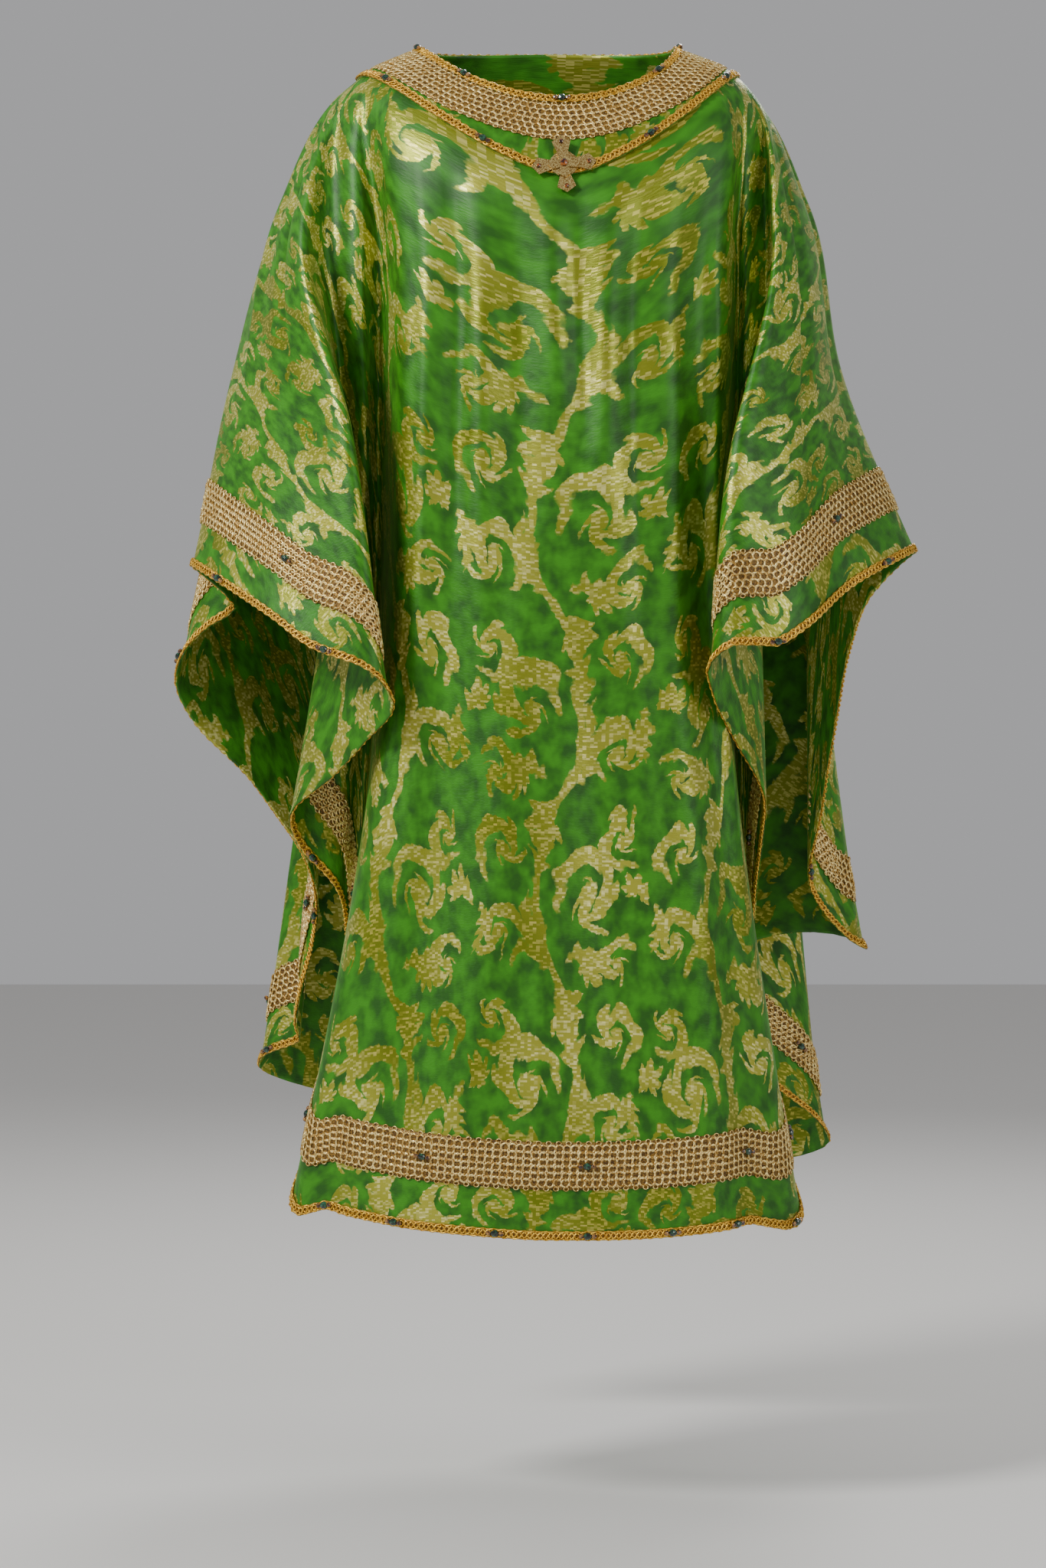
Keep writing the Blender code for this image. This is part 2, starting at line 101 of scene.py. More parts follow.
# Each row is one line down the cloth, a ridge, a valley or a flat stretch. The turn is its angle round
# the neck from the front, positive to the wearer's right, and the places are (x, y, z) in centimetres.
Line = namedtuple("Line", "name turn chest waist hem")

FRONT_RIGHT_LINES = (
    Line("front_middle", 0, (1.5, -16.5, -30.5), (1.5, -17.5, -75.0), (1.0, -18.5, -122.0)),
    Line("front_flat", 20, (-6.0, -16.0, -30.0), (-8.0, -17.0, -75.0), (-12.5, -17.0, -121.2)),
    Line("front_side", 38, (-11.5, -15.0, -29.0), (-14.0, -15.5, -75.0), (-20.0, -14.0, -120.1)),
    Line("panel_edge", 52, (-15.0, -13.3, -27.0), (-16.2, -13.3, -65.6), (-25.8, -8.0, -118.3)),
    Line("side_valley", 58, (-16.2, -8.8, -24.0), (-16.8, -6.0, -60.0), (-20.4, -2.5, -109.0)),
    Line("side_hollow", 64, (-17.6, -7.0, -21.8), (-18.0, -3.5, -56.0), (-20.2, 1.5, -94.5)),
    Line("arm_ridge", 70, (-19.3, -11.5, -20.7), (-18.8, -10.5, -44.0), (-22.6, -4.5, -84.3)),
    Line("arm_valley", 75, (-22.0, -6.4, -20.0), (-21.8, -6.0, -42.0), (-25.8, -7.5, -78.3)),
    Line("wing_edge", 80, (-23.8, -10.8, -20.0), (-18.8, -17.0, -42.5), (-16.8, -17.0, -70.6)),
    Line("wing_front", 84, (-25.7, -9.5, -19.0), (-22.6, -16.5, -42.0), (-21.6, -20.0, -64.5)),
    Line("wing_side", 87, (-26.9, -6.5, -18.0), (-28.6, -12.0, -40.5), (-28.3, -17.0, -59.6)),
    Line("arm_seam", 90, (-27.6, 0.0, -16.0), (-33.2, 0.0, -34.0), (-36.6, -5.0, -54.3)),
)
BACK_RIGHT_LINES = (
    Line("cuff_valley", 93, (-26.9, 3.0, -16.5), (-31.3, 2.0, -37.0), (-29.1, -1.0, -60.0)),
    Line("cuff_ridge", 96, (-27.2, 5.5, -16.0), (-33.3, 5.5, -37.0), (-38.6, 3.0, -64.4)),
    Line("sleeve_back", 101, (-26.5, 9.0, -16.0), (-31.5, 10.0, -42.0), (-33.8, 8.0, -73.5)),
    Line("sleeve_turn", 107, (-24.6, 10.8, -16.0), (-27.6, 12.5, -50.0), (-26.9, 11.5, -82.9)),
    Line("sleeve_valley", 112, (-22.8, 12.2, -16.0), (-23.6, 13.5, -55.0), (-22.8, 14.0, -89.6)),
    Line("back_ridge", 118, (-21.1, 14.8, -16.0), (-24.8, 16.8, -60.4), (-29.2, 16.5, -104.4)),
    Line("back_crease", 123, (-19.4, 14.3, -16.0), (-21.0, 17.2, -62.2), (-25.3, 19.0, -105.2)),
    Line("back_edge", 128, (-17.8, 16.5, -16.5), (-26.0, 20.5, -63.0), (-31.6, 21.5, -107.6)),
    Line("back_valley", 134, (-15.2, 15.4, -17.5), (-20.4, 19.6, -65.0), (-26.3, 24.0, -109.8)),
    Line("back_flat", 155, (-7.8, 17.5, -19.0), (-10.4, 22.7, -70.4), (-13.1, 27.0, -119.2)),
    Line("back_middle", 180, (0.0, 17.0, -20.0), (0.0, 22.5, -70.5), (0.0, 28.0, -122.8)),
)
FRONT_LEFT_LINES = (
    Line("l_front_flat", -20, (8.7, -16.0, -30.0), (11.2, -16.5, -75.0), (14.0, -17.0, -121.7)),
    Line("l_front_hollow", -40, (14.6, -13.0, -28.5), (16.2, -12.7, -61.0), (21.2, -12.5, -120.9)),
    Line("l_panel_edge", -52, (17.7, -12.5, -27.0), (17.7, -12.5, -63.5), (25.8, -7.0, -120.2)),
    Line("l_side_valley", -57, (18.6, -9.0, -24.0), (18.2, -6.0, -60.0), (20.0, -2.5, -112.0)),
    Line("l_side_hollow", -61, (19.6, -6.4, -21.8), (20.2, -2.6, -56.0), (22.0, 2.0, -97.5)),
    Line("l_arm_ridge", -66, (20.0, -9.2, -21.0), (19.6, -8.4, -50.5), (21.2, -5.0, -84.0)),
    Line("l_arm_valley", -71, (23.0, -4.6, -20.0), (23.6, -4.2, -46.5), (24.2, -6.5, -77.0)),
    Line("l_wing_edge", -77.5, (22.8, -11.0, -20.5), (17.5, -17.5, -44.3), (16.4, -17.0, -66.2)),
    Line("l_wing_front", -80.5, (23.4, -11.0, -20.2), (20.8, -18.3, -44.5), (21.5, -20.0, -63.7)),
    Line("l_wing_turn", -83, (24.6, -9.5, -19.5), (25.0, -15.0, -42.7), (26.2, -18.0, -61.3)),
    Line("l_wing_crease", -85.5, (25.7, -7.5, -18.8), (27.2, -12.0, -41.6), (29.3, -13.0, -57.5)),
    Line("l_wing_side", -87.5, (26.6, -5.0, -17.8), (28.8, -9.0, -40.0), (32.7, -12.0, -55.6)),
)
BACK_LEFT_LINES = (
    Line("l_arm_seam", -90, (27.4, 0.0, -16.0), (30.8, 0.0, -33.0), (38.2, -3.0, -52.7)),
    Line("l_cuff_valley", -93, (27.2, 3.0, -16.5), (29.8, 3.0, -37.0), (32.1, 3.0, -56.8)),
    Line("l_cuff_turn", -96, (27.0, 5.0, -17.0), (29.4, 5.0, -44.0), (30.8, 5.5, -74.7)),
    Line("l_sleeve_back", -99, (26.7, 7.0, -17.0), (26.6, 8.0, -50.3), (26.6, 10.5, -94.5)),
    Line("l_sleeve_ridge", -103, (26.4, 9.2, -17.0), (29.4, 12.0, -51.8), (33.8, 13.5, -94.0)),
    Line("l_sleeve_valley", -108, (25.0, 11.0, -17.0), (22.8, 13.5, -52.0), (19.0, 14.5, -88.0)),
    Line("l_back_hollow", -118, (22.5, 13.8, -17.0), (20.8, 17.5, -62.3), (17.0, 18.8, -110.0)),
    Line("l_back_edge", -124, (20.6, 15.8, -17.0), (27.0, 20.5, -66.3), (30.9, 22.5, -115.3)),
    Line("l_back_valley", -132, (17.6, 16.0, -17.5), (21.0, 22.5, -66.3), (22.5, 26.5, -119.0)),
    Line("l_back_flat", -155, (9.0, 17.5, -19.0), (11.7, 23.5, -70.4), (12.7, 28.0, -122.0)),
)

# The galloon's loops and the braid's cords.
LOOP_ROWS = 6
LOOP_MARGIN = 0.07
LOOP_PITCH = 7.8 * MM
LOOP_SIZE = 8.2 * MM
LOOP_THREAD = 2.3 * MM
LOOP_HEIGHT = 1.0 * MM
SCALLOP_PITCH = 10.0 * MM
SCALLOP_SIZE = 0.62
BRAID_PERIOD = 10.4 * MM
BRAID_SWAY = 2.7 * MM
EDGE_CORD_SWAY = 0.594 * MM
BRAID_OVER = 0.45 * MM
BRAID_CORD = 1.9 * MM
BRAID_LIFT = 1.5 * MM

# Beads sewn on the trims in threes, a green one between two brown ones, by the turn at which each three sits.
GREEN_BEAD = 7.5 * MM
BROWN_BEAD = 5.2 * MM
BEAD_APART = 6.4 * MM
BEAD_LIFT = 3.4 * MM
NECK_BEADS = (84, 45, 0.7, -48, -88, -130, 180, 130)
YOKE_BEADS = (62, 24.4, -27.6, -64.3, -100, -132, -170, 150, 108)
GALLOON_BEADS = (
    85.9, 76, 64, 52, 22.2, -4.3, -37.6, -52, -64, -76, -86, -97, -108, -122, -140, -165, 172, 148, 130,
    115, 103,
)
HEM_BEADS = (
    88.3, 84.3, 78, 69.9, 59, 43.2, 26, 9.1, -4, -17.6, -32, -47, -60, -72, -81, -88, -98, -106, -116,
    -128, -145, -160, 178, 160, 142, 126, 112, 102, 95.9,
)

# Radius of the neck in the flat cut, which is part of a ring.
CUT_NECK_RADIUS = 160 * MM

# The cloth's own fineness: steps between two rows of the model, and the reach of one step across.
ROW_STEPS = (3, 12, 6, 3) + (11,) * BODY_ROWS + (10, 7, 3)
ACROSS_STEP = 8.0 * MM
ROW_NECK, ROW_GALLOON_IN, ROW_GALLOON_OUT, ROW_YOKE_BRAID, ROW_YOKE_EDGE = range(5)
ROW_HEM_GALLOON = ROW_YOKE_EDGE + BODY_ROWS
ROW_HEM_GALLOON_END = ROW_HEM_GALLOON + 1
ROW_HEM_BRAID = ROW_HEM_GALLOON + 2
ROW_HEM = ROW_HEM_GALLOON + 3

# How much deeper the creases are drawn than their table says.
CREASE_DEPTH = 1.6

# Soft creases over the main folds. Each runs from a turn and a share of the way down to
# another, with its half width and its depth in millimetres: a ridge stands out, a trough is negative.
Crease = namedtuple("Crease", "turn down end_turn end_down width depth")
CREASES = (
    Crease(-3, 0.09, -6, 0.33, 13, -5.0),
    Crease(4, 0.10, 1, 0.30, 12, 3.0),
    Crease(14, 0.10, 9, 0.42, 15, -4.0),
    Crease(24, 0.10, 18, 0.55, 14, 4.0),
    Crease(31, 0.09, 27, 0.48, 12, -5.0),
    Crease(41, 0.10, 38, 0.60, 12, 3.5),
    Crease(-14, 0.10, -9, 0.40, 14, 4.0),
    Crease(-22, 0.10, -17, 0.52, 13, -4.5),
    Crease(-33, 0.09, -26, 0.62, 15, 4.5),
    Crease(-44, 0.10, -41, 0.78, 16, -6.0),
    Crease(8, 0.38, 16, 0.98, 26, 5.0),
    Crease(-6, 0.42, -12, 0.99, 24, -5.0),
    Crease(2, 0.55, 4, 1.05, 22, 4.0),
    Crease(28, 0.45, 31, 1.03, 22, -6.0),
    Crease(-27, 0.50, -30, 1.03, 22, 6.0),
    Crease(88.3, 0.12, 88.6, 0.70, 9, 3.0),
    Crease(85.6, 0.14, 86.2, 0.85, 8, -3.0),
    Crease(82.0, 0.20, 82.2, 1.02, 9, 2.5),
    Crease(-88.8, 0.12, -89.0, 0.80, 8, -3.0),
    Crease(-84.3, 0.20, -84.6, 0.95, 8, -3.0),
    Crease(-79.4, 0.15, -79.0, 0.90, 8, 2.5),
    Crease(98.5, 0.10, 98.8, 0.90, 10, -3.5),
    Crease(121, 0.10, 120, 0.75, 10, 3.5),
    Crease(138, 0.09, 141, 0.60, 15, -5.0),
    Crease(147, 0.09, 146, 0.98, 18, 5.0),
    Crease(160, 0.08, 163, 0.52, 16, -4.5),
    Crease(170, 0.08, 168, 1.03, 24, 4.5),
    Crease(181, 0.08, 183, 0.70, 20, -5.0),
    Crease(-172, 0.07, -170, 1.02, 22, 4.5),
    Crease(-164, 0.08, -160, 0.62, 16, -4.5),
    Crease(-149, 0.09, -147, 0.98, 18, 5.0),
    Crease(-141, 0.09, -143, 0.55, 14, -4.5),
    Crease(-112, 0.10, -113, 0.85, 10, 3.5),
)


def ring_of_lines():
    """The lines in their order round the garment, from the back middle by the front to the back again."""
    left_back = BACK_LEFT_LINES[::-1]
    left_front = FRONT_LEFT_LINES[::-1]
    return left_back + left_front + FRONT_RIGHT_LINES + BACK_RIGHT_LINES


def neck_place(turn):
    """The point of the neck opening at this turn."""
    forward = cos(turn)
    reach = NECK_FRONT if forward > 0 else NECK_BACK
    drop = -NECK_FRONT_DROP * forward**1.5 if forward > 0 else NECK_BACK_RISE * forward**2
    x = -NECK_HALF_WIDTH * sin(turn) + FRONT_SHIFT * max(0.0, forward)
    return np.array((x, -reach * forward, drop))


def yoke_place(turn):
    """The point of the yoke's outer edge at this turn."""
    forward = cos(turn)
    front = forward > 0
    reach = YOKE_FRONT if front else YOKE_BACK
    fall = YOKE_FRONT_DROP if front else YOKE_BACK_DROP
    x = -YOKE_HALF_WIDTH * sin(turn)
    point = YOKE_POINT_DROP * max(0.0, 1.0 - abs(x) / YOKE_POINT_HALF_WIDTH)
    drop = YOKE_SIDE_DROP + fall * abs(forward) ** YOKE_FALL + point
    return np.array((x + FRONT_SHIFT * max(0.0, forward), -reach * forward, -drop))


def hermite(values, knots, where):
    """A smooth curve through values at knots, read at each number of where."""
    values = np.asarray(values, float)
    knots = np.asarray(knots, float)
    steps = np.diff(knots)
    slopes = np.diff(values, axis=0) / steps.reshape((-1,) + (1,) * (values.ndim - 1))
    tangents = np.empty_like(values)
    tangents[0] = slopes[0]
    tangents[-1] = slopes[-1]
    for i in range(1, len(knots) - 1):
        before, after = steps[i - 1], steps[i]
        tangents[i] = (slopes[i - 1] * after + slopes[i] * before) / (before + after)
    found = []
    for w in where:
        i = min(max(int(np.searchsorted(knots, w, side="right")) - 1, 0), len(steps) - 1)
        h = steps[i]
        t = (w - knots[i]) / h
        found.append(
            values[i] * (2 * t**3 - 3 * t**2 + 1)
            + tangents[i] * h * (t**3 - 2 * t**2 + t)
            + values[i + 1] * (3 * t**2 - 2 * t**3)
            + tangents[i + 1] * h * (t**3 - t**2)
        )
    return np.array(found)


def row_curves(line):
    """Points down one line at the model's rows and the finer ones between them."""
    turn = radians(line.turn)
    ends = [neck_place(turn), yoke_place(turn)]
    ends += [np.array(place) * CM for place in (line.chest, line.waist, line.hem)]
    fine = np.linspace(0.0, 1.0, 401)
    curve = hermite(ends, STATIONS, fine)
    length = np.concatenate([[0.0], np.cumsum(np.linalg.norm(np.diff(curve, axis=0), axis=1))])
    yoke_end = np.interp(STATIONS[1], fine, length)
    hem = length[-1]
    body_end = hem - HEM_TO_GALLOON - GALLOON_WIDTH
    rows = [0.0, NECK_TO_GALLOON, NECK_TO_GALLOON + GALLOON_WIDTH, yoke_end - BRAID_WIDTH]
    rows += list(np.linspace(yoke_end, body_end, BODY_ROWS + 1))
    rows += [body_end + GALLOON_WIDTH, hem - BRAID_WIDTH, hem]
    rows = np.interp(ROW_PLACES, np.arange(len(rows)), rows)
    return np.stack([np.interp(rows, length, curve[:, axis]) for axis in range(3)], axis=1)


ROW_PLACES = np.concatenate(
    [np.linspace(row, row + 1, steps, endpoint=False) for row, steps in enumerate(ROW_STEPS)]
    + [[len(ROW_STEPS)]]
)
ROW_AT = np.concatenate([[0], np.cumsum(ROW_STEPS)])


def softened(grid, lines, down, beside_line):
    """The columns softened across, with the outer edges drawn back to their lines, as the solids are."""
    soft = grid.copy()
    for _ in range(SOFTENINGS):
        beside = (np.roll(soft, 1, axis=0) + np.roll(soft, -1, axis=0)) / 2
        soft += (beside - soft) * SOFTENING
    ramp = np.clip((ROW_PLACES - ROW_YOKE_EDGE - 1) / (ROW_HEM - ROW_YOKE_EDGE - 1), 0.0, 1.0)[:, None]
    for line, place, near in zip(lines, down, beside_line):
        if line.name in EDGE_LINES:
            pull = (place - soft[list(near)].mean(axis=0)) * ramp
            for column in near:
                soft[column] += pull
            soft[near[0] - 1] += pull * EDGE_SHARE
            soft[(near[-1] + 1) % len(soft)] += pull * EDGE_SHARE
    below_yoke = np.clip(ROW_PLACES - ROW_YOKE_EDGE, 0.0, 1.0)[:, None]
    return grid * (1 - below_yoke) + soft * below_yoke


def fine_cloth():
    """The outer face as a ring of fine columns, the turn of each column and the two seam columns."""
    lines = ring_of_lines()
    down = np.array([row_curves(line) for line in lines])
    apart = np.linalg.norm(np.roll(down, -1, axis=0) - down, axis=2)[:, ROW_AT].mean(axis=1)
    knots = np.concatenate([[0.0], np.cumsum(apart**0.7)])
    total = knots[-1]
    again = 3
    wide = np.concatenate([down[-again:], down, down[: again + 1]])
    wide_knots = np.concatenate([knots[-again - 1 : -1] - total, knots, knots[1 : again + 1] + total])
    where, seams, beside_line = [], [], []
    for i, line in enumerate(lines):
        beside_line.append((len(where) - 1, len(where)))
        if line.name.endswith("arm_seam"):
            beside_line[i] = (len(where),)
            seams.append(len(where))
            where.append(knots[i])
        turn_step = (lines[(i + 1) % len(lines)].turn - line.turn) % 360
        steps = FLAT_COLUMNS if turn_step > FLAT_TURN else FOLD_COLUMNS
        where += [knots[i] + (knots[i + 1] - knots[i]) * step for step in steps]
    coarse = softened(hermite(wide, wide_knots, where), lines, down, beside_line)
    turns = [line.turn for line in lines] + [lines[0].turn + 360]
    turn = np.interp(where, knots, turns)

    spread = np.linalg.norm(np.roll(coarse, -1, axis=0) - coarse, axis=2).mean(axis=1)
    places = np.concatenate([[0.0], np.cumsum(spread)])
    fine, fine_seams = [], []
    for i, width in enumerate(spread):
        if i in seams:
            fine_seams.append(len(fine))
        steps = max(2, round(width / ACROSS_STEP))
        fine += list(places[i] + width * np.arange(steps) / steps)
    wide = np.concatenate([coarse[-again:], coarse, coarse[: again + 1]])
    before, after = places[-again - 1 : -1] - places[-1], places[1 : again + 1] + places[-1]
    wide_places = np.concatenate([before, places, after])
    turn = np.interp(fine, places, np.append(turn, turn[0] + 360))
    return hermite(wide, wide_places, fine), turn, fine_seams


def outward_normals(grid):
    """Unit normals of a ring of columns, pointing away from the wearer."""
    ahead = np.roll(grid, -1, axis=0) - grid
    ahead /= np.linalg.norm(ahead, axis=2, keepdims=True)
    across = ahead + np.roll(ahead, 1, axis=0)
    along = np.gradient(grid, axis=1)
    normal = np.cross(across, along)
    return normal / np.linalg.norm(normal, axis=2, keepdims=True)


def creased(grid, turn):
    """The cloth moved along its normals by each crease, fading out at the crease's ends and sides."""
    normal = outward_normals(grid)
    step = np.roll(grid, -1, axis=0) - np.roll(grid, 1, axis=0)
    turn_step = (np.roll(turn, -1) - np.roll(turn, 1)) % 360
    per_degree = np.linalg.norm(step, axis=2) / turn_step[:, None]
    length = np.linalg.norm(np.diff(grid, axis=1), axis=2).cumsum(axis=1)
    length = np.concatenate([np.zeros((len(grid), 1)), length], axis=1)
    down = length / length[:, -1:]
    lift = np.zeros(down.shape)
    for crease in CREASES:
        share = (down - crease.down) / (crease.end_down - crease.down)
        fade = np.sin(pi * np.clip(share, 0.0, 1.0)) ** 0.7
        middle = crease.turn + (crease.end_turn - crease.turn) * share
        away = (turn[:, None] - middle + 180) % 360 - 180
        beside = away * per_degree / (crease.width * MM)
        lift += crease.depth * CREASE_DEPTH * MM * fade * np.exp(-(beside**2))
    clear_of_trim = np.clip((ROW_PLACES - ROW_YOKE_EDGE) / 0.7, 0.0, 1.0)[None, :]
    return grid + normal * (lift * clear_of_trim)[:, :, None]


def flat_places(block, middle):
    """Where each point of a block of columns lies in the cut, laid out as part of a ring round the neck."""
    down = np.linalg.norm(np.diff(block, axis=1), axis=2).cumsum(axis=1)
    radius = CUT_NECK_RADIUS + np.concatenate([np.zeros((len(block), 1)), down], axis=1).mean(axis=0)
    across = np.linalg.norm(np.diff(block, axis=0), axis=2)
    step = (across * radius).sum(axis=1) / (radius**2).sum()
    angle = np.concatenate([[0.0], np.cumsum(step)])
    angle -= angle[middle]
    return np.stack([np.outer(np.sin(angle), radius), -np.outer(np.cos(angle), radius)], axis=2)


def linear(code):
    """The linear colour of an sRGB hex value."""
    parts = [int(code[i : i + 2], 16) / 255 for i in (1, 3, 5)]
    return (*(c / 12.92 if c <= 0.04045 else ((c + 0.055) / 1.055) ** 2.4 for c in parts), 1.0)


def add(tree, kind, inputs=(), **settings):
    """A new node of a tree, with its settings, and its inputs by place or name as values or links."""
    node = tree.nodes.new(kind)
    for name, value in settings.items():
        setattr(node, name, value)
    pairs = inputs.items() if isinstance(inputs, dict) else enumerate(inputs)
    for place, value in pairs:
        if isinstance(value, bpy.types.Node):
            tree.links.new(value.outputs[0], node.inputs[place])
        elif isinstance(value, bpy.types.NodeSocket):
            tree.links.new(value, node.inputs[place])
        elif value is not None:
            node.inputs[place].default_value = value
    return node


# The damask's figure. Each motif has its middle and size in millimetres within half a repeat, its turn in
# degrees and its hand. The other half is the same, mirrored.
Motif = namedtuple("Motif", "form x y size turn hand")
REPEAT_WIDTH = 190 * MM
REPEAT_HEIGHT = 300 * MM
STEM_SWAY = 24 * MM
STEM_HALF_WIDTH = 5 * MM
MOTIFS = (
    Motif("scroll", -32, 78, 45, 200, 1),
    Motif("scroll", 64, 46, 36, 20, -1),
    Motif("scroll", 62, 116, 31, 150, 1),
    Motif("scroll", -66, 24, 28, 300, -1),
    Motif("scroll", -68, 124, 30, 80, 1),
    Motif("leaf", 14, 18, 66, 50, 1),
    Motif("leaf", 28, 84, 60, 118, -1),
    Motif("leaf", -10, 20, 54, 150, 1),
    Motif("leaf", 88, 78, 44, 250, 1),
    Motif("fan", 4, 136, 32, 0, 1),
    Motif("fan", -34, 22, 24, 200, 1),
    Motif("fan", -86, 78, 22, 90, 1),
)


def motif_group(name, draw):
    """A node group that gives how far a place lies inside one motif of unit size."""
    tree = bpy.data.node_groups.new(name, "ShaderNodeTree")
    tree.interface.new_socket("Place", in_out="INPUT", socket_type="NodeSocketVector")
    tree.interface.new_socket("Cover", in_out="OUTPUT", socket_type="NodeSocketFloat")
    place = tree.nodes.new("NodeGroupInput").outputs["Place"]
    split = add(tree, "ShaderNodeSeparateXYZ", (place,))
    reach = add(tree, "ShaderNodeVectorMath", (place,), operation="LENGTH").outputs["Value"]
    turned = add(tree, "ShaderNodeMath", (split.outputs["Y"], split.outputs["X"]), operation="ARCTAN2")
    cover = draw(tree, split.outputs["X"], split.outputs["Y"], reach, turned)
    tree.links.new(cover.outputs[0], tree.nodes.new("NodeGroupOutput").inputs["Cover"])
    return tree


def draw_scroll(tree, x, y, reach, turned):
    """A spiral arm with leafy lobes along its outer side, and a bud at its heart."""
    depth = add(tree, "ShaderNodeMath", (reach, 2.71828), operation="LOGARITHM")
    pitch = add(tree, "ShaderNodeMath", (depth, 0.56), operation="MULTIPLY")
    wound = add(tree, "ShaderNodeMath", (turned, 1 / (2 * pi), pitch), operation="MULTIPLY_ADD")
    across = add(tree, "ShaderNodeMath", (wound,), operation="FRACT")
    aside = add(tree, "ShaderNodeMath", (across, 0.5), operation="SUBTRACT")
    aside = add(tree, "ShaderNodeMath", (aside,), operation="ABSOLUTE")
    spread = add(tree, "ShaderNodeMath", (depth, 8.0), operation="MULTIPLY")
    lobe = add(tree, "ShaderNodeMath", (turned, 6.0, spread), operation="MULTIPLY_ADD")
    lobe = add(tree, "ShaderNodeMath", (lobe,), operation="SINE")
    lobe = add(tree, "ShaderNodeMath", (lobe, across), operation="MULTIPLY")
    width = add(tree, "ShaderNodeMath", (lobe, 0.22, 0.3), operation="MULTIPLY_ADD")
    taper = add(tree, "ShaderNodeMapRange", (reach, 0.7, 1.0, 1.0, 0.0), interpolation_type="SMOOTHSTEP")
    width = add(tree, "ShaderNodeMath", (width, taper), operation="MULTIPLY")
    aside = add(tree, "ShaderNodeMath", (aside, 0.03), operation="ADD")
    arm = add(tree, "ShaderNodeMath", (width, aside), operation="SUBTRACT")
    bud = add(tree, "ShaderNodeMath", (0.2, reach), operation="SUBTRACT")
    return add(tree, "ShaderNodeMath", (arm, bud), operation="MAXIMUM")


def draw_fan(tree, x, y, reach, turned):
    """A palmette, with rounded lobes spread from one foot."""
    lobes = add(tree, "ShaderNodeMath", (turned, 5.0), operation="MULTIPLY")
    lobes = add(tree, "ShaderNodeMath", (lobes,), operation="COSINE")
    lobes = add(tree, "ShaderNodeMath", (lobes,), operation="ABSOLUTE")
    lobes = add(tree, "ShaderNodeMath", (lobes, 0.4, 0.6), operation="MULTIPLY_ADD")
    spread = add(tree, "ShaderNodeMath", (turned, 0.55), operation="MULTIPLY")
    spread = add(tree, "ShaderNodeMath", (spread,), operation="COSINE")
    edge = add(tree, "ShaderNodeMath", (lobes, spread), operation="MULTIPLY")
    return add(tree, "ShaderNodeMath", (edge, reach), operation="SUBTRACT")


def draw_leaf(tree, x, y, reach, turned):
    """A long acanthus leaf with toothed sides, bent to one hand, from its foot to its tip."""
    bend = add(tree, "ShaderNodeMath", (x, x), operation="MULTIPLY")
    bent = add(tree, "ShaderNodeMath", (bend, -0.45, y), operation="MULTIPLY_ADD")
    aside = add(tree, "ShaderNodeMath", (bent,), operation="ABSOLUTE")
    within = add(tree, "ShaderNodeClamp", (x,))
    swell = add(tree, "ShaderNodeMath", (within, pi), operation="MULTIPLY")
    swell = add(tree, "ShaderNodeMath", (swell,), operation="SINE")
    sweep = add(tree, "ShaderNodeMath", (aside, -14.0), operation="MULTIPLY")
    teeth = add(tree, "ShaderNodeMath", (x, 26.0, sweep), operation="MULTIPLY_ADD")
    teeth = add(tree, "ShaderNodeMath", (teeth,), operation="SINE")
    teeth = add(tree, "ShaderNodeMath", (teeth, 0.08, 0.2), operation="MULTIPLY_ADD")
    edge = add(tree, "ShaderNodeMath", (teeth, swell), operation="MULTIPLY")
    aside = add(tree, "ShaderNodeMath", (aside, 0.01), operation="ADD")
    return add(tree, "ShaderNodeMath", (edge, aside), operation="SUBTRACT")


FORMS = {"scroll": draw_scroll, "fan": draw_fan, "leaf": draw_leaf}


